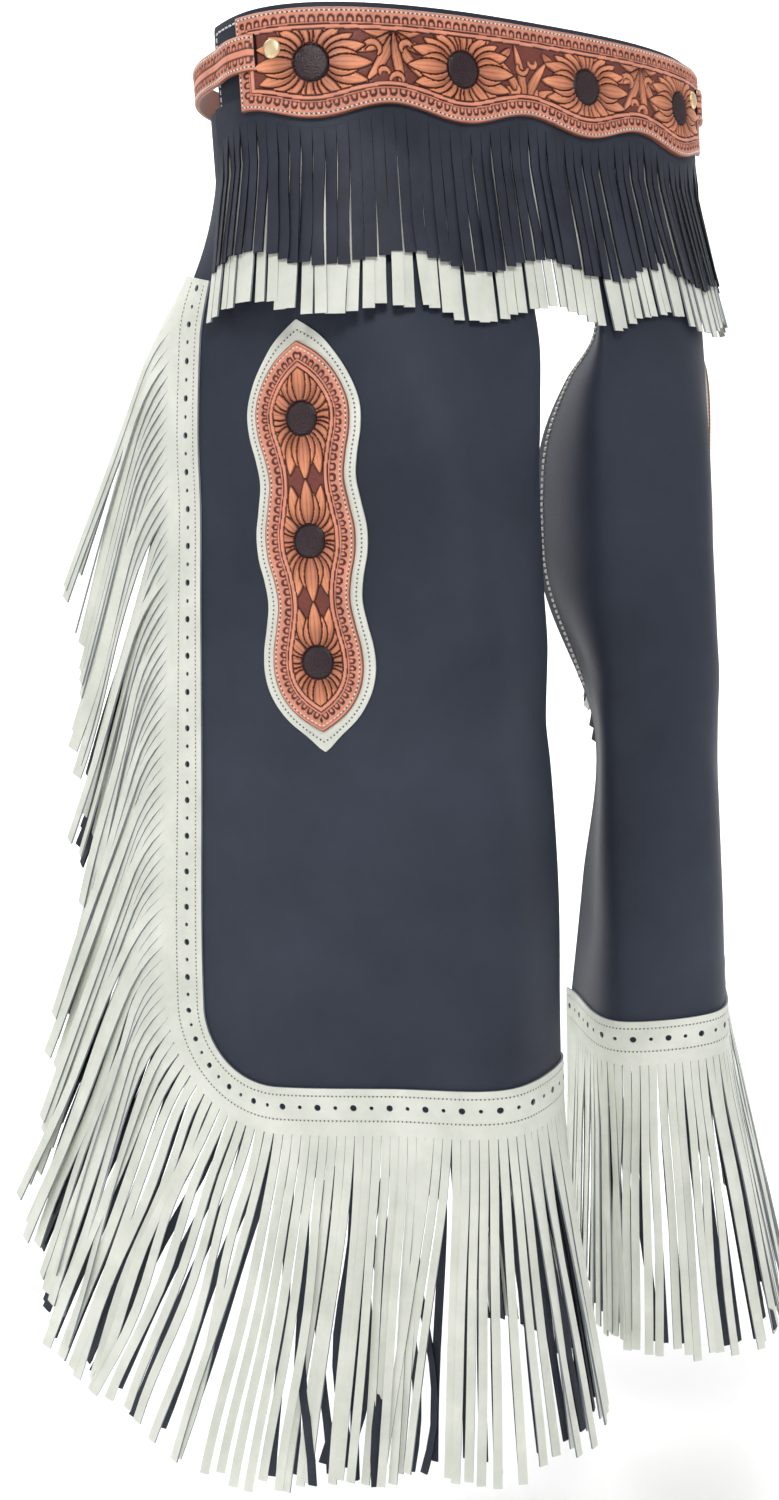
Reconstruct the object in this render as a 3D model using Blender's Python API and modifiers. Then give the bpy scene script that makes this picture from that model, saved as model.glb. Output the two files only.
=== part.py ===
"""Fringed leather chaps, worn: scalloped front belt over a black liner, two open-backed legs,
flower patches on the outer thighs, and fringe on the belt and on both legs.

Metres, +Z up. The wearer faces -Y and the wearer's right is -X. The origin is the middle of the
waist opening, half way up the belt. Every sheet is a grid placed by one of two surfaces: hip(),
a ring round the waist, and leg_base(), a loft through the sections in LEG_ROWS.
"""

import math

import bmesh
import bpy
import numpy as np
from mathutils import Vector

COLLECTION_NAME = "leather_chaps"
GAP = 0.0003
LOFT_GAP = 0.0009

# Waist ring, measured to the panels' inner face, and the belt's turn to the wearer's right
WAIST_HALF_WIDTH = 0.1870
WAIST_FRONT_DEPTH = 0.0890
WAIST_BACK_DEPTH = 0.1120
WAIST_POWER = 2.6
WAIST_SAMPLES = 720
BELT_TURN = -0.018
FRONT_SAG = 0.06
FLARE = 0.020
FLARE_TOP = -0.056
FLARE_DROP = 0.105

# Sheet thicknesses
PANEL_T = 0.0022
LINER_T = 0.0016
FRINGE_T = 0.0013
BELT_T = 0.0030
STRAP_T = 0.0024
PATCH_BACK_T = 0.0014
PATCH_T = 0.0022

# How far each belt layer's inner face lies outside the waist ring
LINER_OFF = PANEL_T + 2 * GAP
WHITE_OFF = LINER_OFF + LINER_T + GAP
BLACK_OFF = WHITE_OFF + FRINGE_T + GAP
BELT_OFF = BLACK_OFF + FRINGE_T + GAP
STRAP_OFF = BELT_OFF + BELT_T + GAP

# Belt and liner
BELT_HALF_LENGTH = 0.2030
BELT_TOP = 0.0330
BELT_BOTTOM = -0.0285
SCALLOP = 0.0045
FLOWER_PITCH = 0.1010
LINER_TOP = 0.0365
LINER_BOTTOM = -0.0350
LINER_EXTRA = 0.0380
BELT_COLUMNS = 56
LINER_COLUMNS = 40
RIGHT_SIDE = (-1.0, -0.2, 0.0)

# Belt fringe
BELT_STRANDS = 34
BELT_FRINGE_TOP = -0.0140
BELT_FRINGE_ROOT = -0.0450
BLACK_TIP = -0.1210
WHITE_TIP = -0.1500
TIP_WAVE = 0.0060
TIP_UNEVEN = 0.0040
STRAND_FILL = 0.80

# Sections of the black panel's outer face for a leg on the +X side. A row has the height of its
# outer part and of its inner end, then x and y of the inner end, inner corner, front, outer
# corner, side and outer edge.
LEG_COLUMNS = ("z", "z_in", "x_end", "y_end", "x_in", "y_in", "x_front", "y_front",
               "x_out", "y_out", "x_side", "y_side", "x_edge", "y_edge")
LEG_ROWS = (
    (-0.012, -0.012, 0.010, -0.0912, 0.045, -0.090, 0.100, -0.084,
     0.155, -0.064, 0.186, -0.010, 0.186, 0.035),
    (-0.080, -0.078, 0.016, -0.0970, 0.046, -0.096, 0.100, -0.090,
     0.157, -0.068, 0.190, -0.012, 0.196, 0.043),
    (-0.140, -0.135, 0.024, -0.1030, 0.042, -0.105, 0.098, -0.100,
     0.159, -0.071, 0.195, -0.012, 0.212, 0.053),
    (-0.185, -0.172, 0.036, -0.0900, 0.035, -0.113, 0.096, -0.110,
     0.160, -0.072, 0.197, -0.012, 0.216, 0.059),
    (-0.225, -0.198, 0.046, -0.0450, 0.028, -0.108, 0.094, -0.118,
     0.160, -0.072, 0.198, -0.012, 0.219, 0.062),
    (-0.270, -0.240, 0.050, -0.0080, 0.0265, -0.103, 0.092, -0.124,
     0.160, -0.071, 0.199, -0.012, 0.221, 0.063),
    (-0.330, -0.320, 0.046, -0.0020, 0.0270, -0.101, 0.090, -0.127,
     0.160, -0.070, 0.202, -0.012, 0.227, 0.063),
    (-0.460, -0.460, 0.050, -0.0550, 0.030, -0.103, 0.090, -0.128,
     0.160, -0.069, 0.207, -0.012, 0.240, 0.063),
    (-0.580, -0.580, 0.052, -0.0300, 0.030, -0.100, 0.090, -0.127,
     0.160, -0.068, 0.212, -0.012, 0.252, 0.063),
    (-0.702, -0.702, 0.055, 0.0000, 0.030, -0.095, 0.090, -0.125,
     0.160, -0.066, 0.215, -0.012, 0.259, 0.063),
)
SECTION_KNOTS = (0.0, 0.25, 0.41, 0.64, 0.80, 1.0)

# The panel's top follows the waist ring, at these distances along it, and leaves it lower down
RING_KNOTS = (0.010, 0.045, 0.102, 0.168, 0.232, 0.285)
RING_END = -0.060
RING_BLEND = 0.090
CORNER_START = 0.80
CORNER_RISE = 0.118
CORNER_RAMP = 0.70
PANEL_COLUMNS = 20
PANEL_ROWS = 16

# Border strip and fringe of a leg
BORDER_TOP = 0.150
BORDER_WIDTH = 0.0270
BORDER_MARGIN = 0.0070
BORDER_OFF = 0.0014
UNDER_START = 0.0026
UNDER_MARGIN = 0.0080
LEG_STRANDS = 50
UNDER_STRANDS = 20
UNDER_FIRST = 0.06
UNDER_FILL = 0.30
UNDER_SHARE = 0.92
SIDE_LEAN = math.radians(25.0)
HEM_LEAN = math.radians(9.0)
INNER_LEAN = 0.35
INNER_LEAN_END = 0.15
INNER_LEAN_BLEND = 0.25
SIDE_FORWARD_LOSS = 0.8
BEND_LENGTH = 0.10
LOUVRE_ANGLE = math.radians(30.0)
LOUVRE_LENGTH = 0.05
UNDER_DEPTH = 0.0125
START_SHARE = 0.35
STRAND_PARTS = 3
LENGTH_UNEVEN = 0.03
STRAND_TAPER = 0.88

# Length of the leg fringe by the share of the way from the top of the border to the inner hem
FRINGE_COLUMNS = ("share", "length")
FRINGE_ROWS = ((0.00, 0.225), (0.22, 0.235), (0.34, 0.270), (0.43, 0.300), (0.50, 0.280),
               (0.60, 0.250), (0.78, 0.243), (0.88, 0.235), (1.00, 0.220))

# How much shorter the wearer's left leg hangs
LEG_DROP = {-1.0: 1.0, 1.0: 0.983}

# Flower patch: height and half width down the pale backing
PATCH_COLUMNS = ("z", "half_width")
PATCH_ROWS = (
    (-0.158, 0.002), (-0.166, 0.0150), (-0.182, 0.0290), (-0.197, 0.0385), (-0.213, 0.0440),
    (-0.229, 0.0430), (-0.245, 0.0385), (-0.260, 0.0360), (-0.277, 0.0385), (-0.294, 0.0415),
    (-0.310, 0.0405), (-0.325, 0.0365), (-0.340, 0.0345), (-0.356, 0.0370), (-0.372, 0.0405),
    (-0.388, 0.0410), (-0.404, 0.0365), (-0.420, 0.0250), (-0.431, 0.0110), (-0.440, 0.002),
)
PATCH_CENTRE_TOP = 0.709
PATCH_CENTRE_BOTTOM = 0.700
PATCH_INSET = 0.0085
TIP_INSET = 1.6
TIP_HALF_WIDTH = 0.0012
PATCH_GRID_COLUMNS = 6
PATCH_GRID_ROWS = 16

# How much further round each leg its patch sits, as a share of the way across
PATCH_TURN = {-1.0: 0.0, 1.0: 0.018}

# Waist straps, buckle and studs
STRAP_WIDTH = 0.0220
STRAP_HEIGHT = 0.0100
STRAP_SLOT_INSET = 0.0150
STUD_INSET = 0.0125
STRAP_LOW_OFF = LINER_OFF + LINER_T + GAP
STRAP_DROP_LENGTH = 0.030
BELT_END_CLEAR = 0.002
STRAP_SEGMENTS = 30
BUCKLE_HALF_WIDTH = 0.0170
BUCKLE_HALF_HEIGHT = 0.0175
BUCKLE_WIRE = 0.0019
PRONG_WIRE = 0.0015
STRAP_OVERLAP = 0.070
STUD_RADIUS = 0.0058
STUD_TOP_RADIUS = 0.0026
STUD_HEIGHT = 0.0026
STUD_SEAT = 0.0004
STUD_SEGMENTS = 16

# Thigh straps
THIGH_Z = -0.285
THIGH_WIDTH = 0.0220
THIGH_SAG = 0.075
THIGH_START = 0.035
THIGH_END = 0.93
THIGH_SEGMENTS = 14


def spline(knots, values, x):
    """Smooth curve through rows of values at the knots."""
    last = len(knots) - 1
    i = int(np.clip(np.searchsorted(knots, x) - 1, 0, last - 1))

    def slope(k):
        if k == 0:
            return (values[1] - values[0]) / (knots[1] - knots[0])
        if k == last:
            return (values[last] - values[last - 1]) / (knots[last] - knots[last - 1])
        before = (values[k] - values[k - 1]) / (knots[k] - knots[k - 1])
        after = (values[k + 1] - values[k]) / (knots[k + 1] - knots[k])
        share = (knots[k + 1] - knots[k]) / (knots[k + 1] - knots[k - 1])
        return before * share + after * (1.0 - share)

    step = knots[i + 1] - knots[i]
    f = (x - knots[i]) / step
    a = values[i]
    b = values[i + 1]
    rise_a = slope(i) * step
    rise_b = slope(i + 1) * step
    if f < 0.0 or f > 1.0:
        return a + rise_a * f if f < 0.0 else b + rise_b * (f - 1.0)
    return (a * (1 + 2 * f) * (1 - f) ** 2 + rise_a * f * (1 - f) ** 2
            + b * f * f * (3 - 2 * f) + rise_b * f * f * (f - 1))


def smooth(x):
    x = min(max(x, 0.0), 1.0)
    return x * x * (3.0 - 2.0 * x)


def unit(v):
    return v / np.linalg.norm(v)


def ring_point(phi, a, front, back):
    """Superellipse point: phi 0 is the front centre, pi the back centre."""
    s = math.sin(phi)
    c = math.cos(phi)
    power = 2.0 / WAIST_POWER
    depth = front if c > 0 else back
    return np.array((math.copysign(a * abs(s) ** power, s), math.copysign(depth * abs(c) ** power, -c)))


def ring_table():
    """Distance along the belt's ring at evenly spaced angles, zero at the front centre."""
    mid = BELT_OFF + BELT_T / 2
    angles = np.linspace(-math.pi, math.pi, WAIST_SAMPLES + 1)
    size = (WAIST_HALF_WIDTH + mid, WAIST_FRONT_DEPTH + mid, WAIST_BACK_DEPTH + mid)
    points = np.array([ring_point(a, *size) for a in angles])
    steps = np.hypot(*np.diff(points, axis=0).T)
    length = np.concatenate(([0.0], np.cumsum(steps)))
    return angles, length - length[WAIST_SAMPLES // 2]


RING_ANGLES, RING_LENGTHS = ring_table()
HALF_GIRTH = float(RING_LENGTHS[-1])


def hip(u, z, off):
    """Point off metres outside the waist ring, u metres along it from the front centre."""
    phi = float(np.interp(u, RING_LENGTHS, RING_ANGLES))
    spread = off + FLARE * min(max((FLARE_TOP - z) / FLARE_DROP, 0.0), 1.5)
    x, y = ring_point(phi, WAIST_HALF_WIDTH + spread, WAIST_FRONT_DEPTH + spread, WAIST_BACK_DEPTH + spread)
    return np.array((x, y, z + FRONT_SAG * y))


def column(names, rows, name):
    """One named column of a table."""
    return np.array([row[names.index(name)] for row in rows])


ROW_HEIGHTS = column(LEG_COLUMNS, LEG_ROWS, "z")
INNER_HEIGHTS = column(LEG_COLUMNS, LEG_ROWS, "z_in")
SECTIONS = np.array(LEG_ROWS)[:, LEG_COLUMNS.index("x_end"):]
ROW_TOP = ROW_HEIGHTS[0]
ROW_SPAN = ROW_HEIGHTS[0] - ROW_HEIGHTS[-1]
ROW_KNOTS = (ROW_TOP - ROW_HEIGHTS) / ROW_SPAN


def leg_base(s, t):
    """Outer face of a panel on the +X side: s from inner end to outer edge, t from top to hem."""
    section = spline(ROW_KNOTS, SECTIONS, t).reshape(len(SECTION_KNOTS), 2)
    x, y = spline(SECTION_KNOTS, section, s)
    z_in = spline(ROW_KNOTS, INNER_HEIGHTS, t)
    z_out = ROW_TOP - ROW_SPAN * t
    point = np.array((x, y, z_in + (z_out - z_in) * smooth(s / SECTION_KNOTS[1])))
    loose = smooth((RING_END - z_out) / RING_BLEND)
    if loose < 1.0:
        u = spline(SECTION_KNOTS, RING_KNOTS, s)
        point = point * loose + hip(u, z_out, PANEL_T) * (1.0 - loose)
    return point


def leg_slopes(s, t):
    step = 0.002
    across = (leg_base(s + step, t) - leg_base(s - step, t)) / (2 * step)
    down = (leg_base(s, t + step) - leg_base(s, t - step)) / (2 * step)
    return across, down


def leg_normal(s, t):
    across, down = leg_slopes(s, t)
    return unit(np.cross(down, across))


def leg_point(s, t, off):
    return leg_base(s, t) + leg_normal(s, t) * off


def corner_rise(s):
    e = max(0.0, (s - CORNER_START) / (1.0 - CORNER_START))
    return CORNER_RISE * (1.0 - math.sqrt(max(0.0, 1.0 - e * e)))


def cut_t(s, t):
    """Hem height of the cut panel, with its rounded lower outer corner."""
    return t - corner_rise(s) * max(0.0, (t - CORNER_RAMP) / (1.0 - CORNER_RAMP))


def border_path():
    """Places down the outer edge, round the corner and along the hem, with their distances."""
    places = [(1.0, t) for t in np.linspace(BORDER_TOP, 1.0 - CORNER_RISE, 90)]
    angles = np.linspace(math.pi / 2, 0.0, 40)[1:]
    turn = [1.0 - (1.0 - CORNER_START) * (1.0 - math.sin(a)) for a in angles]
    places += [(s, 1.0 - corner_rise(s)) for s in turn]
    places += [(s, 1.0) for s in np.linspace(CORNER_START, 0.0, 90)[1:]]
    points = np.array([leg_base(s, t) for s, t in places])
    steps = np.linalg.norm(np.diff(points, axis=0), axis=1)
    return np.array(places), np.concatenate(([0.0], np.cumsum(steps)))


PATH_PLACES, PATH_LENGTHS = border_path()
PATH_LENGTH = float(PATH_LENGTHS[-1])


def border_place(v):
    s = float(np.interp(v, PATH_LENGTHS, PATH_PLACES[:, 0]))
    t = float(np.interp(v, PATH_LENGTHS, PATH_PLACES[:, 1]))
    return s, t


def border_frame(v):
    """Place on the edge, its outward normal, the way along the edge and the way off the leather."""
    step = 0.004
    before = border_place(max(v - step, 0.0))
    after = border_place(min(v + step, PATH_LENGTH))
    s, t = border_place(v)
    along = unit(leg_base(*after) - leg_base(*before))
    normal = leg_normal(s, t)
    return s, t, normal, along, unit(np.cross(normal, along))


def border_point(v, inset, off):
    """Point inset metres in from the leg's edge, on the leather, raised by off."""
    s, t, normal, along, away = border_frame(v)
    across, down = leg_slopes(s, t)
    basis = np.column_stack((across, down))
    ds, dt = np.linalg.lstsq(basis, -away * inset, rcond=None)[0]
    if inset <= 0.0:
        return leg_base(s, t) - away * inset + normal * off
    return leg_point(s + ds, t + dt, off)


def material(name, colour, roughness, metallic):
    made = bpy.data.materials.new(name)
    made.use_nodes = True
    shader = made.node_tree.nodes["Principled BSDF"]
    shader.inputs["Base Color"].default_value = (*colour, 1.0)
    shader.inputs["Roughness"].default_value = roughness
    shader.inputs["Metallic"].default_value = metallic
    made.diffuse_color = (*colour, 1.0)
    return made


BLACK = (0.045, 0.050, 0.066)
PALE = (0.690, 0.710, 0.640)
TAN = (0.600, 0.250, 0.120)
GOLD = (0.800, 0.520, 0.250)
BRASS = (0.620, 0.450, 0.200)


def leather(name, colour):
    return material(name, colour, 0.5, 0.0)


def metal(name, colour):
    return material(name, colour, 0.3, 1.0)


def add_object(name, bm, look, collection):
    mesh = bpy.data.meshes.new(name)
    bm.to_mesh(mesh)
    bm.free()
    made = bpy.data.objects.new(name, mesh)
    made.data.materials.append(look)
    collection.objects.link(made)
    return made


def thicken(made, thickness, offset):
    shell = made.modifiers.new("Thickness", "SOLIDIFY")
    shell.thickness = thickness
    shell.offset = offset
    shell.use_even_offset = False
    shell.use_quality_normals = True


def grid(columns, rows):
    """Flat grid and its vertices by column and row."""
    bm = bmesh.new()
    bmesh.ops.create_grid(bm, x_segments=columns, y_segments=rows, size=0.5)
    cells = {}
    for vertex in bm.verts:
        i = round((vertex.co.x + 0.5) * columns)
        j = round((vertex.co.y + 0.5) * rows)
        cells[i, j] = vertex
    return bm, cells


def face_outward(bm, hint):
    """Wind all faces alike, so that the first one looks along the hint."""
    bmesh.ops.recalc_face_normals(bm, faces=list(bm.faces))
    bm.faces.ensure_lookup_table()
    if bm.faces[0].normal.dot(hint) < 0.0:
        bmesh.ops.reverse_faces(bm, faces=list(bm.faces))


def sheet(name, columns, rows, place, hint, thickness, offset, look, collection):
    """One cut piece: place(i, j) gives each grid point, hint the outward side of its first face."""
    bm, cells = grid(columns, rows)
    for (i, j), vertex in cells.items():
        vertex.co = place(i / columns, j / rows)
    face_outward(bm, hint)
    made = add_object(name, bm, look, collection)
    thicken(made, thickness, offset)
    return made


def grow(bm, left, right):
    """Extrude one edge and return its new ends in the same order."""
    made = bmesh.ops.extrude_edge_only(bm, edges=[bm.edges.get((left, right))])
    ends = [item for item in made["geom"] if isinstance(item, bmesh.types.BMVert)]
    return sorted(ends, key=lambda vertex: (vertex.co - left.co).length)


def fringe(name, strands, rows, strip_point, strand_points, hint, look, collection):
    """A narrow strip whose lowest row runs on as strands, two grid points to each strand."""
    bm, cells = grid(2 * strands - 1, rows)
    for (i, j), vertex in cells.items():
        vertex.co = strip_point(i, 1.0 - j / rows)
    for k in range(strands):
        left = cells[2 * k, 0]
        right = cells[2 * k + 1, 0]
        for left_point, right_point in strand_points(k):
            left, right = grow(bm, left, right)
            left.co = left_point
            right.co = right_point
    face_outward(bm, hint)
    made = add_object(name, bm, look, collection)
    thicken(made, FRINGE_T, 1.0)
    return made


def belt_u(f):
    """Distance along the ring at fraction f of the belt, from the wearer's right to the left."""
    return BELT_TURN + (2.0 * f - 1.0) * BELT_HALF_LENGTH


def scallop_wave(u):
    """1 below a flower, -1 half way between two flowers."""
    return math.cos(2.0 * math.pi * ((u - BELT_TURN) / FLOWER_PITCH - 0.5))


def belt_bottom(u):
    return BELT_BOTTOM - SCALLOP * scallop_wave(u)


def strand_column(i, strands, fill):
    """Fraction along a strip of its grid column i, where strands fill that share of each pitch."""
    k = i // 2
    side = -1.0 if i % 2 == 0 else 1.0
    return (k + 0.5 + side * fill / 2) / strands


def wave(k, pace):
    """Small repeatable unevenness between -1 and 1."""
    return math.sin(pace * k + 0.7) * math.cos(0.37 * pace * k)


def build_belt(collection):
    def belt_place(fx, fy):
        u = belt_u(fx)
        low = belt_bottom(u)
        return hip(u, low + (BELT_TOP - low) * fy, BELT_OFF)

    def liner_place(fx, fy):
        span = BELT_HALF_LENGTH + LINER_EXTRA
        u = BELT_TURN + (2.0 * fx - 1.0) * span
        return hip(u, LINER_BOTTOM + (LINER_TOP - LINER_BOTTOM) * fy, LINER_OFF)

    tan = leather("belt_tan", TAN)
    black = leather("liner_black", BLACK)
    sheet("belt_front", BELT_COLUMNS, 1, belt_place, RIGHT_SIDE, BELT_T, 1.0, tan, collection)
    sheet("belt_liner", LINER_COLUMNS, 1, liner_place, RIGHT_SIDE, LINER_T, 1.0, black, collection)


def build_belt_fringe(name, off, tip, phase, look, collection):
    span = BELT_HALF_LENGTH + LINER_EXTRA - 0.001

    def fringe_u(i):
        return BELT_TURN + (2.0 * strand_column(i, BELT_STRANDS, STRAND_FILL) - 1.0) * span

    def strip_point(i, drop):
        z = BELT_FRINGE_TOP + (BELT_FRINGE_ROOT - BELT_FRINGE_TOP) * drop
        return hip(fringe_u(i), z, off)

    def strand_points(k):
        left = fringe_u(2 * k)
        right = fringe_u(2 * k + 1)
        end = tip + TIP_UNEVEN * wave(k + phase, 1.9) - TIP_WAVE * scallop_wave(left)
        for z in (0.5 * (BELT_FRINGE_ROOT + BLACK_TIP), end):
            yield hip(left, z, off), hip(right, z, off)

    fringe(name, BELT_STRANDS, 1, strip_point, strand_points, RIGHT_SIDE, look, collection)


def mirrored(point, side):
    """A point of the +X leg on the leg of that side."""
    return (side * point[0], point[1], LEG_DROP[side] * point[2])


def strand_length(share):
    shares = column(FRINGE_COLUMNS, FRINGE_ROWS, "share")
    return float(np.interp(share, shares, column(FRINGE_COLUMNS, FRINGE_ROWS, "length")))


def strand_lean(v):
    """The way that a leg strand hangs in the end: down, with a lean off the leg."""
    s, t, normal, along, away = border_frame(v)
    off_side = np.array((away[0], away[1], 0.0))
    off_front = np.array((normal[0], normal[1], 0.0))
    sideways = np.linalg.norm(off_side)
    inner = INNER_LEAN + (1.0 - INNER_LEAN) * smooth((s - INNER_LEAN_END) / INNER_LEAN_BLEND)
    forward = math.tan(HEM_LEAN) * inner * (1.0 - SIDE_FORWARD_LOSS * sideways)
    lean = off_side * math.tan(SIDE_LEAN) + off_front * forward
    return unit(np.array((lean[0], lean[1], -1.0))), sideways


def turned(vector, axis, angle):
    return (vector * math.cos(angle) + np.cross(axis, vector) * math.sin(angle)
            + axis * axis.dot(vector) * (1.0 - math.cos(angle)))


def strand_way(away, hang, distance):
    share = START_SHARE + (1.0 - START_SHARE) * smooth(distance / BEND_LENGTH)
    return unit(away * (1.0 - share) + hang * share)


def leg_strand(v, half, margin, off, length, depth):
    """Left and right points down one strand, from the strip's lowest row."""
    s, t, normal, along, away = border_frame(v)
    hang, sideways = strand_lean(v)
    centre = border_point(v, -margin, off)
    step = length / STRAND_PARTS
    points = []
    for m in range(STRAND_PARTS):
        middle = (m + 0.5) * step
        way = strand_way(away, hang, middle)
        centre = centre + way * step
        end = (m + 1.0) * step
        way = strand_way(away, hang, end)
        width = unit(along - way * along.dot(way))
        width = turned(width, way, LOUVRE_ANGLE * sideways * smooth(end / LOUVRE_LENGTH))
        sunk = centre - normal * depth * smooth(end / BEND_LENGTH)
        reach = width * half * STRAND_TAPER
        points.append((sunk - reach, sunk + reach))
    return points


def build_leg_fringe(name, side, strands, fill, first, start, margin, off, share, depth, look, collection):
    span = PATH_LENGTH * (1.0 - first)
    half = span / strands * fill / 2

    def strip_point(i, drop):
        v = PATH_LENGTH * first + span * strand_column(i, strands, fill)
        return mirrored(border_point(v, start - (start + margin) * drop, off), side)

    def strand_points(k):
        v = PATH_LENGTH * first + span * (k + 0.5) / strands
        size = share * strand_length(v / PATH_LENGTH) * (1.0 + LENGTH_UNEVEN * wave(k, 2.3))
        for left, right in leg_strand(v, half, margin, off, size, depth):
            yield mirrored(left, side), mirrored(right, side)

    hint = mirrored(leg_normal(1.0, BORDER_TOP), side)
    fringe(name, strands, 1, strip_point, strand_points, hint, look, collection)


def build_leg(side, label, collection):
    black = leather("leg_black_" + label, BLACK)
    pale = leather("leg_pale_" + label, PALE)

    def panel_place(fx, fy):
        return mirrored(leg_base(fx, cut_t(fx, 1.0 - fy)), side)

    hint = mirrored(leg_normal(0.02, 0.98), side)
    sheet("leg_panel_" + label, PANEL_COLUMNS, PANEL_ROWS, panel_place, hint, PANEL_T, -1.0, black,
          collection)
    build_leg_fringe("leg_fringe_" + label, side, LEG_STRANDS, STRAND_FILL, 0.0, BORDER_WIDTH,
                     BORDER_MARGIN, BORDER_OFF, 1.0, 0.0, pale, collection)
    build_leg_fringe("leg_underfringe_" + label, side, UNDER_STRANDS, UNDER_FILL, UNDER_FIRST,
                     -UNDER_START, UNDER_MARGIN, -FRINGE_T, UNDER_SHARE, UNDER_DEPTH, black, collection)


def patch_place(side, inset, off):
    """Grid place on the thigh patch, its outline drawn in by inset."""
    heights = column(PATCH_COLUMNS, PATCH_ROWS, "z")
    widths = column(PATCH_COLUMNS, PATCH_ROWS, "half_width")
    top = heights[0] - TIP_INSET * inset
    bottom = heights[-1] + TIP_INSET * inset

    def place(fx, fy):
        z = bottom + (top - bottom) * fy
        half = max(TIP_HALF_WIDTH, float(np.interp(-z, -heights, widths)) - inset)
        t = (ROW_TOP - z) / ROW_SPAN
        down = (heights[0] - z) / (heights[0] - heights[-1])
        s = PATCH_CENTRE_TOP + (PATCH_CENTRE_BOTTOM - PATCH_CENTRE_TOP) * down + PATCH_TURN[side]
        across, fall = leg_slopes(s, t)
        s += (2.0 * fx - 1.0) * half / np.linalg.norm(across)
        return mirrored(leg_point(s, t, off), side)

    return place


def build_patch(side, label, collection):
    middle_t = (ROW_TOP - (PATCH_ROWS[0][0] + PATCH_ROWS[-1][0]) / 2) / ROW_SPAN
    middle = mirrored(leg_normal(PATCH_CENTRE_TOP, middle_t), side)
    size = (PATCH_GRID_COLUMNS, PATCH_GRID_ROWS)
    sheet("patch_back_" + label, *size, patch_place(side, 0.0, LOFT_GAP), middle, PATCH_BACK_T, 1.0,
          leather("patch_pale_" + label, PALE), collection)
    sheet("patch_flowers_" + label, *size, patch_place(side, PATCH_INSET, LOFT_GAP + PATCH_BACK_T + GAP),
          middle, PATCH_T, 1.0, leather("patch_tan_" + label, TAN), collection)


def strap_sheet(name, ends, segments, off_at, height, width, look, collection):
    """A strap round the waist ring between two distances from the front centre."""
    first, last = ends

    def place(fx, fy):
        u = first + (last - first) * fx
        return hip_round(u, height + (fy - 0.5) * width, off_at(u))

    middle = hip_round(first, height, 1.0) - hip_round(first, height, 0.0)
    sheet(name, segments, 1, place, middle, STRAP_T, 1.0, look, collection)


def hip_round(u, z, off):
    """The waist ring past the back centre, where u runs on round the other side."""
    girth = 2.0 * HALF_GIRTH
    return hip((u + HALF_GIRTH) % girth - HALF_GIRTH, z, off)


def build_straps(collection):
    tan = leather("strap_tan", TAN)
    slot = BELT_HALF_LENGTH - STRAP_SLOT_INSET
    right_start = BELT_TURN - slot
    left_start = BELT_TURN + slot
    belt_right = BELT_TURN - BELT_HALF_LENGTH
    belt_left = BELT_TURN + BELT_HALF_LENGTH

    def right_off(u):
        down = smooth((belt_right - BELT_END_CLEAR - u) / STRAP_DROP_LENGTH)
        return STRAP_OFF + (STRAP_LOW_OFF + STRAP_T + GAP - STRAP_OFF) * down

    def left_off(u):
        down = smooth((u - belt_left - BELT_END_CLEAR) / STRAP_DROP_LENGTH)
        return STRAP_OFF + (STRAP_LOW_OFF - STRAP_OFF) * down

    strap_sheet("waist_strap_right", (-HALF_GIRTH + BUCKLE_HALF_WIDTH + BUCKLE_WIRE + GAP, right_start),
                STRAP_SEGMENTS, right_off, STRAP_HEIGHT, STRAP_WIDTH, tan, collection)
    strap_sheet("waist_strap_left", (left_start, HALF_GIRTH + STRAP_OVERLAP), STRAP_SEGMENTS, left_off,
                STRAP_HEIGHT, STRAP_WIDTH, tan, collection)
    build_buckle(STRAP_LOW_OFF + STRAP_T + GAP + BUCKLE_WIRE, collection)
    for label, u in (("right", right_start + STUD_INSET), ("left", left_start - STUD_INSET)):
        build_stud("stud_" + label, u, collection)


def build_buckle(off, collection):
    """Rectangular wire frame and its prong, on the strap at the back centre."""
    brass = metal("buckle_brass", BRASS)
    centre = hip(HALF_GIRTH, STRAP_HEIGHT, off)
    corners = []
    for x, z in ((1, 1), (-1, 1), (-1, -1), (1, -1)):
        corners.append((centre[0] + x * BUCKLE_HALF_WIDTH, centre[1], centre[2] + z * BUCKLE_HALF_HEIGHT))
    wire("buckle_frame", corners, BUCKLE_WIRE, True, brass, collection)
    y = centre[1] + 2.0 * BUCKLE_WIRE + GAP
    ends = [(centre[0] + x, y, centre[2]) for x in (-BUCKLE_HALF_WIDTH, BUCKLE_HALF_WIDTH)]
    wire("buckle_prong", ends, PRONG_WIRE, False, brass, collection)


def wire(name, points, radius, closed, look, collection):
    curve = bpy.data.curves.new(name, "CURVE")
    curve.dimensions = "3D"
    curve.bevel_depth = radius
    curve.bevel_resolution = 2
    curve.use_fill_caps = not closed
    line = curve.splines.new("POLY")
    line.points.add(len(points) - 1)
    for point, place in zip(line.points, points):
        point.co = (*place, 1.0)
    line.use_cyclic_u = closed
    curve.materials.append(look)
    made = bpy.data.objects.new(name, curve)
    collection.objects.link(made)


def build_stud(name, u, collection):
    """Domed stud on the strap's slot end of the belt."""
    base = hip(u, STRAP_HEIGHT, STRAP_OFF)
    along = hip(u + STUD_RADIUS, STRAP_HEIGHT, STRAP_OFF) - hip(u - STUD_RADIUS, STRAP_HEIGHT, STRAP_OFF)
    outward = unit(np.cross(along, (0.0, 0.0, 1.0)))
    bm = bmesh.new()
    bmesh.ops.create_cone(bm, cap_ends=True, segments=STUD_SEGMENTS, radius1=STUD_RADIUS,
                          radius2=STUD_TOP_RADIUS, depth=STUD_HEIGHT)
    turn = Vector((0.0, 0.0, 1.0)).rotation_difference(Vector(outward)).to_matrix()
    seat = Vector(base + outward * (STUD_HEIGHT / 2 + STUD_SEAT))
    for vertex in bm.verts:
        vertex.co = turn @ vertex.co + seat
    add_object(name, bm, metal(name + "_gold", GOLD), collection)


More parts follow.
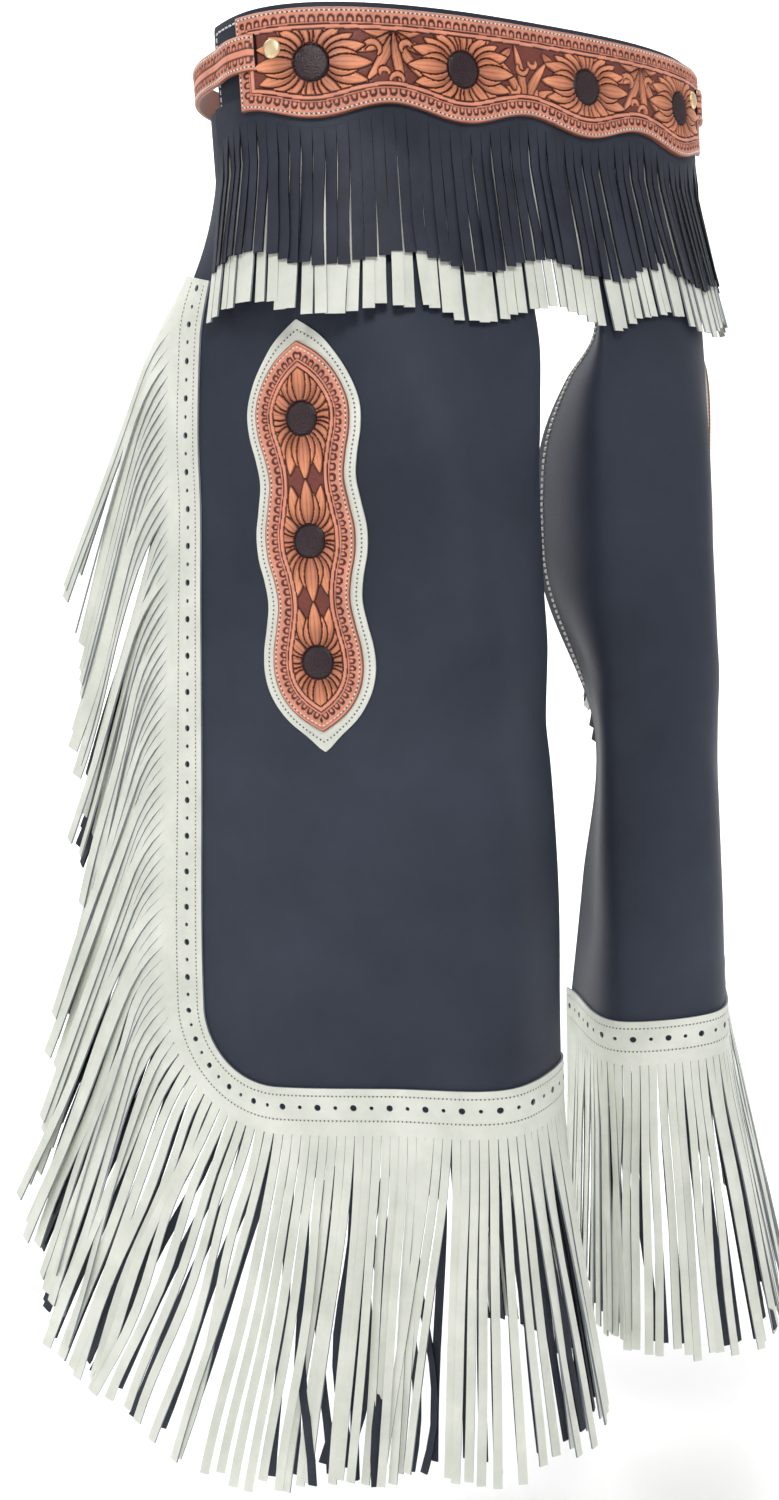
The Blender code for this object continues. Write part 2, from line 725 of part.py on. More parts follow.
def build_thigh_strap(side, label, collection):
    """Strap behind the thigh, from the panel's inner end to the inside of its outer edge."""
    t = (ROW_TOP - THIGH_Z) / ROW_SPAN
    start = leg_point(THIGH_START, t, -PANEL_T - LOFT_GAP)
    end = leg_point(THIGH_END, t, -PANEL_T - LOFT_GAP)

    def place(fx, fy):
        x, y, z = start + (end - start) * fx
        return mirrored((x, y + THIGH_SAG * 4.0 * fx * (1.0 - fx), THIGH_Z + (fy - 0.5) * THIGH_WIDTH), side)

    sheet("thigh_strap_" + label, THIGH_SEGMENTS, 1, place, mirrored(-leg_normal(THIGH_START, t), side),
          STRAP_T, 1.0, leather("thigh_black_" + label, BLACK), collection)


def build():
    for old in list(bpy.data.objects):
        bpy.data.objects.remove(old)
    collection = bpy.data.collections.new(COLLECTION_NAME)
    bpy.context.scene.collection.children.link(collection)
    build_belt(collection)
    white = leather("fringe_white", PALE)
    black = leather("fringe_black", BLACK)
    build_belt_fringe("belt_fringe_white", WHITE_OFF, WHITE_TIP, 5, white, collection)
    build_belt_fringe("belt_fringe_black", BLACK_OFF, BLACK_TIP, 0, black, collection)
    for side, label in ((-1.0, "right"), (1.0, "left")):
        build_leg(side, label, collection)
        build_patch(side, label, collection)
        build_thigh_strap(side, label, collection)
    build_straps(collection)


build()
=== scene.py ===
"""Leather, tooling, stitching and fringe for the chaps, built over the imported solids."""

import math

import bpy
import numpy as np
from mathutils import Matrix, Vector


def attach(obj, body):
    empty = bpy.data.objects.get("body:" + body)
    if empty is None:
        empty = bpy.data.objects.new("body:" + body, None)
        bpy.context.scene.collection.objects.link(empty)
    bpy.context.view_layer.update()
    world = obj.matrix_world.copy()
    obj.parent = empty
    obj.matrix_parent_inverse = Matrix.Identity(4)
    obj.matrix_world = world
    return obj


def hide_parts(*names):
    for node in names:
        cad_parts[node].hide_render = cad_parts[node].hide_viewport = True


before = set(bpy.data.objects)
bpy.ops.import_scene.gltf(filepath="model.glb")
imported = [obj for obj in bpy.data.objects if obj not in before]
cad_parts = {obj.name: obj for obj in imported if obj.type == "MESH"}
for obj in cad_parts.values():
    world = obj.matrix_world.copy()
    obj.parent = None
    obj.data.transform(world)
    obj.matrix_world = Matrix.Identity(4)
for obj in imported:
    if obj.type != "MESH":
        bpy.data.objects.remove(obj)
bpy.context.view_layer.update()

MM = 0.001

# Waist ring and layers, as in the solids
GAP = 0.0003
LOFT_GAP = 0.0009
WAIST_HALF_WIDTH = 0.1870
WAIST_FRONT_DEPTH = 0.0890
WAIST_BACK_DEPTH = 0.1120
WAIST_POWER = 2.6
WAIST_SAMPLES = 720
BELT_TURN = -0.018
FRONT_SAG = 0.06
FLARE = 0.020
FLARE_TOP = -0.056
FLARE_DROP = 0.105
PANEL_T = 0.0022
LINER_T = 0.0016
FRINGE_T = 0.0013
BELT_T = 0.0030
STRAP_T = 0.0024
PATCH_BACK_T = 0.0014
PATCH_T = 0.0022
LINER_OFF = PANEL_T + 2 * GAP
WHITE_OFF = LINER_OFF + LINER_T + GAP
BLACK_OFF = WHITE_OFF + FRINGE_T + GAP
BELT_OFF = BLACK_OFF + FRINGE_T + GAP
STRAP_OFF = BELT_OFF + BELT_T + GAP

# Belt and liner
BELT_HALF_LENGTH = 0.2030
BELT_TOP = 0.0330
BELT_BOTTOM = -0.0285
SCALLOP = 0.0045
FLOWER_PITCH = 0.1010
LINER_TOP = 0.0380
LINER_BOTTOM = -0.0350
LINER_EXTRA = 0.0380

# Belt fringe
BELT_STRANDS = 62
BELT_FRINGE_TOP = -0.0140
BELT_FRINGE_DROP = 0.0055
BLACK_TIP = -0.1230
WHITE_TIP = -0.1545
TIP_WAVE = 0.0060
SIDE_TIP_RISE = 0.0055

# Sections of the black panel's outer face, as in the solids
LEG_COLUMNS = ("z", "z_in", "x_end", "y_end", "x_in", "y_in", "x_front", "y_front",
               "x_out", "y_out", "x_side", "y_side", "x_edge", "y_edge")
LEG_ROWS = (
    (-0.012, -0.012, 0.010, -0.0912, 0.045, -0.090, 0.100, -0.084,
     0.155, -0.064, 0.186, -0.010, 0.186, 0.035),
    (-0.080, -0.078, 0.016, -0.0970, 0.046, -0.096, 0.100, -0.090,
     0.157, -0.068, 0.190, -0.012, 0.196, 0.043),
    (-0.140, -0.135, 0.024, -0.1030, 0.042, -0.105, 0.098, -0.100,
     0.159, -0.071, 0.195, -0.012, 0.212, 0.053),
    (-0.185, -0.172, 0.036, -0.0900, 0.035, -0.113, 0.096, -0.110,
     0.160, -0.072, 0.197, -0.012, 0.216, 0.059),
    (-0.225, -0.198, 0.046, -0.0450, 0.028, -0.108, 0.094, -0.118,
     0.160, -0.072, 0.198, -0.012, 0.219, 0.062),
    (-0.270, -0.240, 0.050, -0.0080, 0.0265, -0.103, 0.092, -0.124,
     0.160, -0.071, 0.199, -0.012, 0.221, 0.063),
    (-0.330, -0.320, 0.046, -0.0020, 0.0270, -0.101, 0.090, -0.127,
     0.160, -0.070, 0.202, -0.012, 0.227, 0.063),
    (-0.460, -0.460, 0.050, -0.0550, 0.030, -0.103, 0.090, -0.128,
     0.160, -0.069, 0.207, -0.012, 0.240, 0.063),
    (-0.580, -0.580, 0.052, -0.0300, 0.030, -0.100, 0.090, -0.127,
     0.160, -0.068, 0.212, -0.012, 0.252, 0.063),
    (-0.702, -0.702, 0.055, 0.0000, 0.030, -0.095, 0.090, -0.125,
     0.160, -0.066, 0.215, -0.012, 0.259, 0.063),
)
SECTION_KNOTS = np.array((0.0, 0.25, 0.41, 0.64, 0.80, 1.0))
RING_KNOTS = np.array((0.010, 0.045, 0.102, 0.168, 0.232, 0.285))
RING_END = -0.060
RING_BLEND = 0.090
CORNER_START = 0.80
CORNER_RISE = 0.118
CORNER_RAMP = 0.70
LEG_DROP = {-1.0: 1.0, 1.0: 0.983}

# Border strip and leg fringe
BORDER_TOP = 0.150
BORDER_WIDTH = 0.0270
BORDER_MARGIN = 0.0070
BORDER_LIFT = 0.0003
BORDER_T = 0.0015
HOLE_CELLS = 77
HOLE_INSET = 0.0132
HOLE_BIG = 0.0023
HOLE_SMALL = 0.0014
STITCH_INNER = 0.0216
STITCH_OUTER = 0.0038
LEG_STRANDS = 126
UNDER_STRANDS = 84
SIDE_LEAN = math.radians(27.5)
SIDE_LEAN_MOST = math.radians(31.0)
HEM_LEAN = math.radians(9.0)
# The topmost strands lean out further, and so do those of the corner and the hem's start
TOP_LEAN = math.radians(7.0)
CORNER_LEAN = math.radians(17.0)
CORNER_REACH = 0.11
# Side strands are cut wider than the hem's, in parts of the border's length
WIDE_SHARE = 1.50
WIDE_UNTIL = 0.44
WIDE_GONE = 0.72
INNER_LEAN = 0.35
BEND_LENGTH = 0.07
LOUVRE_ANGLE = math.radians(-14.0)
LOUVRE_LENGTH = 0.022
START_SHARE = 0.62
STRAND_STEPS = (0.0, 0.015, 0.04, 0.075, 0.12, 0.18, 0.25, 0.33,
                0.41, 0.50, 0.59, 0.68, 0.77, 0.85, 0.93, 1.0)
FRINGE_SHARES = (0.00, 0.22, 0.34, 0.43, 0.50, 0.56, 0.62, 0.78, 0.88, 1.00)
FRINGE_LENGTHS = (0.230, 0.238, 0.268, 0.298, 0.296, 0.290, 0.254, 0.234, 0.218, 0.200)

# Flower patch: heights and half widths of the pale backing
PATCH_HEIGHTS = np.array((-0.158, -0.166, -0.182, -0.197, -0.213, -0.229, -0.245, -0.260, -0.277,
                          -0.294, -0.310, -0.325, -0.340, -0.356, -0.372, -0.388, -0.404, -0.420,
                          -0.431, -0.440))
PATCH_WIDTHS = np.array((0.0020, 0.0150, 0.0290, 0.0385, 0.0440, 0.0430, 0.0385, 0.0360, 0.0385,
                         0.0415, 0.0405, 0.0365, 0.0345, 0.0370, 0.0405, 0.0410, 0.0365, 0.0250,
                         0.0110, 0.0020))
PATCH_CENTRE_TOP = 0.709
PATCH_CENTRE_BOTTOM = 0.700
PATCH_INSET = 0.0085
TIP_INSET = 1.6
TIP_SLOPE = 1.7
TIP_BLEND = 4.0
PATCH_TURN = {-1.0: 0.0, 1.0: 0.018}

# Straps, buckle, studs
STRAP_WIDTH = 0.0220
STRAP_HEIGHT = 0.0100
STRAP_SLOT_INSET = 0.0150
STUD_INSET = 0.0125
STRAP_LOW_OFF = LINER_OFF + LINER_T + GAP
STRAP_DROP_LENGTH = 0.030
BELT_END_CLEAR = 0.002
BUCKLE_HALF_WIDTH = 0.0170
BUCKLE_HALF_HEIGHT = 0.0175
BUCKLE_WIRE = 0.0019
STRAP_OVERLAP = 0.070
THIGH_Z = -0.285
THIGH_WIDTH = 0.0220
THIGH_SAG = 0.075
THIGH_START = 0.035
THIGH_END = 0.93


def smooth(x):
    x = np.clip(x, 0.0, 1.0)
    return x * x * (3.0 - 2.0 * x)


def unit(v):
    return v / np.maximum(np.linalg.norm(v, axis=-1, keepdims=True), 1e-12)


def srgb(red, green, blue):
    """Linear colour of an eight-bit screen colour."""
    c = np.array((red, green, blue)) / 255.0
    return np.where(c <= 0.04045, c / 12.92, ((c + 0.055) / 1.055) ** 2.4)


def spline(knots, values, x):
    """Smooth curves at x: values holds rows of knot values, one row for each x or one for all."""
    gaps = np.diff(knots)
    rise = np.diff(values, axis=1) / gaps[:, None]
    share = (gaps[1:] / (gaps[1:] + gaps[:-1]))[:, None]
    middle = rise[:, :-1] * share + rise[:, 1:] * (1.0 - share)
    slopes = np.concatenate((rise[:, :1], middle, rise[:, -1:]), axis=1)
    i = np.clip(np.searchsorted(knots, x) - 1, 0, len(knots) - 2)
    row = np.arange(len(x)) if len(values) > 1 else np.zeros(len(x), int)
    a = values[row, i]
    b = values[row, i + 1]
    step = gaps[i][:, None]
    f = ((x - knots[i]) / gaps[i])[:, None]
    rise_a = slopes[row, i] * step
    rise_b = slopes[row, i + 1] * step
    inside = (a * (1 + 2 * f) * (1 - f) ** 2 + rise_a * f * (1 - f) ** 2
              + b * f * f * (3 - 2 * f) + rise_b * f * f * (f - 1))
    return np.where(f < 0.0, a + rise_a * f, np.where(f > 1.0, b + rise_b * (f - 1.0), inside))


def ring_point(phi, a, front, back):
    s = np.sin(phi)
    c = np.cos(phi)
    power = 2.0 / WAIST_POWER
    depth = np.where(c > 0, front, back)
    return np.sign(s) * a * np.abs(s) ** power, -np.sign(c) * depth * np.abs(c) ** power


def ring_table():
    mid = BELT_OFF + BELT_T / 2
    angles = np.linspace(-math.pi, math.pi, WAIST_SAMPLES + 1)
    x, y = ring_point(angles, WAIST_HALF_WIDTH + mid, WAIST_FRONT_DEPTH + mid, WAIST_BACK_DEPTH + mid)
    length = np.concatenate(([0.0], np.cumsum(np.hypot(np.diff(x), np.diff(y)))))
    return angles, length - length[WAIST_SAMPLES // 2]


RING_ANGLES, RING_LENGTHS = ring_table()
HALF_GIRTH = float(RING_LENGTHS[-1])


def hip(u, z, off):
    """Points off metres outside the waist ring, u metres along it from the front centre."""
    u, z, off = np.broadcast_arrays(np.asarray(u, float), np.asarray(z, float), np.asarray(off, float))
    girth = 2.0 * HALF_GIRTH
    phi = np.interp((u + HALF_GIRTH) % girth - HALF_GIRTH, RING_LENGTHS, RING_ANGLES)
    spread = off + FLARE * np.clip((FLARE_TOP - z) / FLARE_DROP, 0.0, 1.5)
    x, y = ring_point(phi, WAIST_HALF_WIDTH + spread, WAIST_FRONT_DEPTH + spread,
                      WAIST_BACK_DEPTH + spread)
    return np.stack((x, y, z + FRONT_SAG * y), axis=-1)


ROWS = np.array(LEG_ROWS)
ROW_HEIGHTS = ROWS[:, LEG_COLUMNS.index("z")]
ROW_TOP = ROW_HEIGHTS[0]
ROW_SPAN = ROW_HEIGHTS[0] - ROW_HEIGHTS[-1]
ROW_KNOTS = (ROW_TOP - ROW_HEIGHTS) / ROW_SPAN
SECTIONS = ROWS[:, LEG_COLUMNS.index("x_end"):]
INNER_HEIGHTS = ROWS[:, LEG_COLUMNS.index("z_in")]


def leg_base(s, t):
    """Outer face of a panel on the +X side: s from inner end to outer edge, t from top to hem."""
    section = spline(ROW_KNOTS, SECTIONS[None], t).reshape(len(t), len(SECTION_KNOTS), 2)
    flat = spline(SECTION_KNOTS, section, s)
    z_in = spline(ROW_KNOTS, INNER_HEIGHTS[None, :, None], t)[:, 0]
    z_out = ROW_TOP - ROW_SPAN * t
    z = z_in + (z_out - z_in) * smooth(s / SECTION_KNOTS[1])
    point = np.column_stack((flat, z))
    loose = smooth((RING_END - z_out) / RING_BLEND)[:, None]
    u = spline(SECTION_KNOTS, RING_KNOTS[None, :, None], s)[:, 0]
    return point * loose + hip(u, z_out, PANEL_T) * (1.0 - loose)


def leg_slopes(s, t):
    step = 0.002
    across = (leg_base(s + step, t) - leg_base(s - step, t)) / (2 * step)
    down = (leg_base(s, t + step) - leg_base(s, t - step)) / (2 * step)
    return across, down


def leg_normal(s, t):
    across, down = leg_slopes(s, t)
    return unit(np.cross(down, across))


def ripple(s, t):
    """Soft troughs and ridges in the front of a leg, none under the patch, border or belt."""
    room = smooth((t - 0.20) / 0.16) * smooth((0.97 - t) / 0.12)
    room = room * smooth(s / 0.10) * smooth((0.60 - s) / 0.14)
    long_folds = 0.0017 * np.sin(2 * math.pi * (2.1 * s + 0.55 * t + 0.1))
    cross_folds = 0.0010 * np.sin(2 * math.pi * (1.2 * s - 3.1 * t + 0.35)) * smooth((t - 0.3) / 0.2)
    knee = 0.0016 * np.exp(-((t - 0.52 - 0.25 * (s - 0.2)) / 0.035) ** 2)
    knee -= 0.0014 * np.exp(-((t - 0.60 - 0.30 * (s - 0.2)) / 0.030) ** 2)
    return room * (long_folds + cross_folds + knee)


def leg_point(s, t, off):
    lift = np.asarray(off) + ripple(s, t)
    return leg_base(s, t) + leg_normal(s, t) * np.broadcast_to(lift, s.shape)[:, None]


def corner_rise(s):
    e = np.clip((s - CORNER_START) / (1.0 - CORNER_START), 0.0, 1.0)
    return CORNER_RISE * (1.0 - np.sqrt(1.0 - e * e))


def cut_t(s, t):
    return t - corner_rise(s) * np.maximum(0.0, (t - CORNER_RAMP) / (1.0 - CORNER_RAMP))


def border_path():
    edge = np.linspace(BORDER_TOP, 1.0 - CORNER_RISE, 90)
    turn = 1.0 - (1.0 - CORNER_START) * (1.0 - np.sin(np.linspace(math.pi / 2, 0.0, 40)[1:]))
    hem = np.linspace(CORNER_START, 0.0, 90)[1:]
    s = np.concatenate((np.ones(len(edge)), turn, hem))
    t = np.concatenate((edge, 1.0 - corner_rise(turn), np.ones(len(hem))))
    steps = np.linalg.norm(np.diff(leg_base(s, t), axis=0), axis=1)
    return s, t, np.concatenate(([0.0], np.cumsum(steps)))


PATH_S, PATH_T, PATH_LENGTHS = border_path()
PATH_LENGTH = float(PATH_LENGTHS[-1])


def border_place(v):
    return np.interp(v, PATH_LENGTHS, PATH_S), np.interp(v, PATH_LENGTHS, PATH_T)


def border_frame(v):
    """Places on the edge with the outward normal, the way along and the way off the leather."""
    step = 0.004
    s, t = border_place(v)
    before = border_place(np.maximum(v - step, 0.0))
    after = border_place(np.minimum(v + step, PATH_LENGTH))
    along = unit(leg_base(*after) - leg_base(*before))
    normal = leg_normal(s, t)
    return s, t, normal, along, unit(np.cross(normal, along))


def border_point(v, inset, off):
    """Points inset metres in from the leg's edge, on the leather, raised by off."""
    v, inset, off = (np.array(x, float) for x in np.broadcast_arrays(v, inset, off))
    s, t, normal, _, away = border_frame(v)
    across, down = leg_slopes(s, t)
    aa = (across * across).sum(1)
    ad = (across * down).sum(1)
    dd = (down * down).sum(1)
    ra = -(across * away).sum(1) * inset
    rd = -(down * away).sum(1) * inset
    det = aa * dd - ad * ad
    ds = (ra * dd - rd * ad) / det
    dt = (rd * aa - ra * ad) / det
    outside = leg_base(s, t) - away * inset[:, None] + normal * off[:, None]
    on_leather = leg_point(s + ds, t + dt, off)
    return np.where((inset <= 0.0)[:, None], outside, on_leather)


def mirrored(points, side):
    return points * np.array((side, 1.0, LEG_DROP[side]))


def new_material(name):
    made = bpy.data.materials.new(name)
    made.use_nodes = True
    tree = made.node_tree
    return made, tree, tree.nodes["Principled BSDF"]


def node(tree, kind, **values):
    made = tree.nodes.new(kind)
    for key, value in values.items():
        if key in made.inputs:
            made.inputs[key].default_value = value
        else:
            setattr(made, key, value)
    return made


def ramp(tree, low, high, start, end):
    made = tree.nodes.new("ShaderNodeValToRGB")
    made.color_ramp.elements[0].position = start
    made.color_ramp.elements[1].position = end
    made.color_ramp.elements[0].color = (*low, 1.0)
    made.color_ramp.elements[1].color = (*high, 1.0)
    return made


def bumps(tree, shader, layers):
    """Chains bumps from (texture output, strength, distance) layers into the shader."""
    last = None
    for output, strength, distance in layers:
        bump = node(tree, "ShaderNodeBump", Strength=strength, Distance=distance)
        tree.links.new(output, bump.inputs["Height"])
        if last is not None:
            tree.links.new(last.outputs["Normal"], bump.inputs["Normal"])
        last = bump
    tree.links.new(last.outputs["Normal"], shader.inputs["Normal"])


def set_inputs(made, values):
    for key, value in values.items():
        made.inputs[key].default_value = value


def at_object(tree, *textures):
    """Lays textures out in the piece's own space."""
    place = node(tree, "ShaderNodeTexCoord").outputs["Object"]
    for texture in textures:
        tree.links.new(place, texture.inputs["Vector"])


def colour_by(tree, shader, texture, low, high, start, end):
    """Base colour between low and high, by a texture."""
    colours = ramp(tree, low, high, start, end)
    tree.links.new(texture.outputs["Fac"], colours.inputs["Fac"])
    tree.links.new(colours.outputs["Color"], shader.inputs["Base Color"])


def leather_material(name, low, high, roughness, grain_scale, grain, blotch_scale=14.0, specular=0.5):
    """Leather with blotchy colour, pebbled grain and fine pores."""
    made, tree, shader = new_material(name)
    blotch = node(tree, "ShaderNodeTexNoise", Scale=blotch_scale, Detail=6.0, Roughness=0.6)
    pebble = node(tree, "ShaderNodeTexVoronoi", Scale=grain_scale, Randomness=1.0)
    pebble.feature = "SMOOTH_F1"
    pores = node(tree, "ShaderNodeTexNoise", Scale=grain_scale * 2.3, Detail=4.0, Roughness=0.65)
    folds = node(tree, "ShaderNodeTexNoise", Scale=28.0, Detail=3.0, Roughness=0.5)
    at_object(tree, blotch, pebble, pores, folds)
    colour_by(tree, shader, blotch, low, high, 0.32, 0.70)
    rough = node(tree, "ShaderNodeMapRange")
    set_inputs(rough, {"From Min": 0.3, "From Max": 0.7, "To Min": roughness - 0.06,
                       "To Max": roughness + 0.07})
    tree.links.new(pores.outputs["Fac"], rough.inputs["Value"])
    tree.links.new(rough.outputs["Result"], shader.inputs["Roughness"])
    bumps(tree, shader, ((folds.outputs["Fac"], 0.25, 0.0012), (pebble.outputs["Distance"], grain, 0.0004),
                         (pores.outputs["Fac"], grain * 0.7, 0.0002)))
    set_inputs(shader, {"Specular IOR Level": specular})
    return made


def tooled_material(name):
    """Tan leather that takes its carved colours from the mesh, with grain and a soft finish."""
    made, tree, shader = new_material(name)
    tint = node(tree, "ShaderNodeVertexColor", layer_name="tint")
    blotch = node(tree, "ShaderNodeTexNoise", Scale=60.0, Detail=5.0, Roughness=0.6)
    pores = node(tree, "ShaderNodeTexNoise", Scale=1900.0, Detail=3.0, Roughness=0.6)
    at_object(tree, blotch, pores)
    shade = ramp(tree, (0.78, 0.76, 0.74), (1.12, 1.10, 1.08), 0.30, 0.72)
    tree.links.new(blotch.outputs["Fac"], shade.inputs["Fac"])
    mix = node(tree, "ShaderNodeMix", data_type="RGBA", blend_type="MULTIPLY")
    mix.inputs["Factor"].default_value = 1.0
    tree.links.new(tint.outputs["Color"], mix.inputs["A"])
    tree.links.new(shade.outputs["Color"], mix.inputs["B"])
    tree.links.new(mix.outputs["Result"], shader.inputs["Base Color"])
    set_inputs(shader, {"Roughness": 0.46, "Specular IOR Level": 0.45})
    bumps(tree, shader, ((pores.outputs["Fac"], 0.35, 0.0002),))
    return made


def metal_material(name, colour, roughness, scratch):
    made, tree, shader = new_material(name)
    wear = node(tree, "ShaderNodeTexNoise", Scale=900.0, Detail=4.0, Roughness=0.6)
    at_object(tree, wear)
    colour_by(tree, shader, wear, tuple(np.array(colour) * 0.82), colour, 0.3, 0.7)
    set_inputs(shader, {"Metallic": 1.0, "Roughness": roughness})
    bumps(tree, shader, ((wear.outputs["Fac"], scratch, 0.0001),))
    return made


def thread_material(name, colour):
    """Twisted thread: fine slanting strands by wave bands."""
    made, tree, shader = new_material(name)
    twist = node(tree, "ShaderNodeTexWave", Scale=900.0, Distortion=1.0)
    twist.bands_direction = "DIAGONAL"
    at_object(tree, twist)
    colour_by(tree, shader, twist, tuple(np.array(colour) * 0.80), colour, 0.1, 0.7)
    set_inputs(shader, {"Roughness": 0.7})
    bumps(tree, shader, ((twist.outputs["Fac"], 0.4, 0.0001),))
    return made


BLACK_LOOK = leather_material("black_leather_grain", srgb(42, 47, 59), srgb(56, 62, 76), 0.56, 900.0,
                              0.32, 7.0, 0.24)
FRINGE_BLACK_LOOK = leather_material("black_fringe_grain", srgb(38, 42, 53), srgb(54, 59, 72), 0.60, 900.0,
                                     0.30, 30.0, 0.30)
# Side walls of the black strands: darker than the face, painted shade that draws the slits between strands
BLACK_WALL_SHADE_LOOK = leather_material("black_fringe_wall_shade", srgb(18, 19, 25), srgb(30, 32, 40), 0.8, 700.0,
                                  0.3, specular=0.15)
PALE_LOOK = leather_material("pale_leather_grain", srgb(214, 217, 206), srgb(238, 240, 231), 0.72, 700.0,
                             0.22, 22.0, 0.3)
# Side walls of the pale strands: a grey darker than the face, painted shade that draws the lines between strands
PALE_WALL_SHADE_LOOK = leather_material("pale_fringe_wall_shade", srgb(118, 124, 131), srgb(160, 166, 173), 0.85,
                                 700.0, 0.4, specular=0.15)
FLESH_LOOK = leather_material("flesh_side", srgb(46, 36, 34), srgb(66, 52, 48), 0.9, 500.0, 0.6, 40.0, 0.15)
TOOLED_LOOK = tooled_material("tooled_tan_leather")
EDGE_LOOK = leather_material("burnished_edge", srgb(122, 70, 52), srgb(160, 96, 72), 0.5, 900.0, 0.2)
GOLD_LOOK = metal_material("gold_stud_metal", (0.98, 0.79, 0.50), 0.48, 0.05)
BRASS_LOOK = metal_material("satin_brass", (0.72, 0.52, 0.25), 0.34, 0.12)
THREAD_LOOK = thread_material("white_thread", tuple(srgb(240, 238, 230)))
# Needle holes: dark discs of painted shade, on tan and on pale leather
HOLE_SHADE_LOOK = leather_material("hole_painted_shade", srgb(26, 18, 16), srgb(40, 28, 24), 0.9, 700.0, 0.1,
                             specular=0.1)
PALE_HOLE_SHADE_LOOK = leather_material("pale_hole_painted_shade", srgb(70, 72, 70), srgb(94, 97, 93), 0.9, 700.0, 0.1,
                                  specular=0.1)


def add_mesh(name, points, faces, looks, looks_at=None, tint=None, flat=False):
    """A piece from points and faces, riding on the root body."""
    mesh = bpy.data.meshes.new(name)
    mesh.from_pydata([tuple(p) for p in np.asarray(points, float)], [], [tuple(f) for f in faces])
    for look in looks:
        mesh.materials.append(look)
    if looks_at is not None:
        mesh.polygons.foreach_set("material_index", np.asarray(looks_at, np.int32))
    if not flat:
        mesh.polygons.foreach_set("use_smooth", np.ones(len(mesh.polygons), bool))
        mesh.set_sharp_from_angle(angle=math.radians(50.0))
    if tint is not None:
        layer = mesh.color_attributes.new("tint", "FLOAT_COLOR", "POINT")
        colours = np.column_stack((tint, np.ones(len(tint))))
        layer.data.foreach_set("color", colours.astype(np.float32).ravel())
    mesh.update()
    made = bpy.data.objects.new(name, mesh)
    bpy.context.scene.collection.objects.link(made)
    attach(made, "root")
    return made


def grid_faces(columns, rows):
    """Quads of a grid of (columns + 1) by (rows + 1) points stored row by row."""
    i, j = np.meshgrid(np.arange(columns), np.arange(rows))
    first = (j * (columns + 1) + i).ravel()
    return np.column_stack((first, first + 1, first + columns + 2, first + columns + 1))


def grid_places(columns, rows):
    fy, fx = np.meshgrid(np.linspace(0.0, 1.0, rows + 1), np.linspace(0.0, 1.0, columns + 1), indexing="ij")
    return fx.ravel(), fy.ravel()


def slab(front, back, faces):
    """Closes two like surfaces with walls along every edge that only one face has."""
    faces = [tuple(f) for f in faces]
    count = len(front)
    used = {}
    for f in faces:
        for a, b in zip(f, f[1:] + f[:1]):
            used[(a, b)] = True
    walls = []
    for a, b in used:
        if (b, a) not in used:
            walls.append((b, a, a + count, b + count))
    backs = [tuple(i + count for i in reversed(f)) for f in faces]
    kinds = [0] * len(faces) + [1] * len(backs) + [2] * len(walls)
    return np.concatenate((front, back)), faces + backs + walls, kinds


def outward(faces, side):
    """Faces wound for the mirrored leg too."""
    if side > 0:
        return [tuple(f) for f in faces]
    return [tuple(reversed(f)) for f in faces]


def straps_of_grid(front, rows, columns, back, back_rows):
    """A dense front grid and a coarse back grid with the same columns, closed at every side."""
    base = (rows + 1) * (columns + 1)
    faces = [tuple(f) for f in grid_faces(columns, rows)]
    fronts = len(faces)
    faces += [tuple(base + i for i in reversed(f)) for f in grid_faces(columns, back_rows)]
    backs = len(faces) - fronts
    top = rows * (columns + 1)
    back_top = base + back_rows * (columns + 1)
    for i in range(columns):
        faces.append((i + 1, i, base + i, base + i + 1))
        faces.append((top + i, top + i + 1, back_top + i + 1, back_top + i))
    left = [j * (columns + 1) for j in range(rows + 1)]
    left_back = [base + j * (columns + 1) for j in range(back_rows + 1)]
    faces.append(tuple(left + left_back[::-1]))
    right = [i + columns for i in left]
    right_back = [i + columns for i in left_back]
    faces.append(tuple(right[::-1] + right_back))
    kinds = [0] * fronts + [1] * backs + [2] * (len(faces) - fronts - backs)
    return np.concatenate((front, back)), faces, kinds


def line_lengths(points):
    return np.concatenate(([0.0], np.cumsum(np.linalg.norm(np.diff(points, axis=0), axis=1))))


def walk(points, places):
    lengths = line_lengths(points)
    return np.column_stack([np.interp(places, lengths, points[:, k]) for k in range(3)])


STITCH_SIDES = 5
STITCH_RINGS = ((-0.50, 0.35, -0.6), (-0.34, 0.95, 0.35), (0.34, 0.95, 0.35), (0.50, 0.35, -0.6))


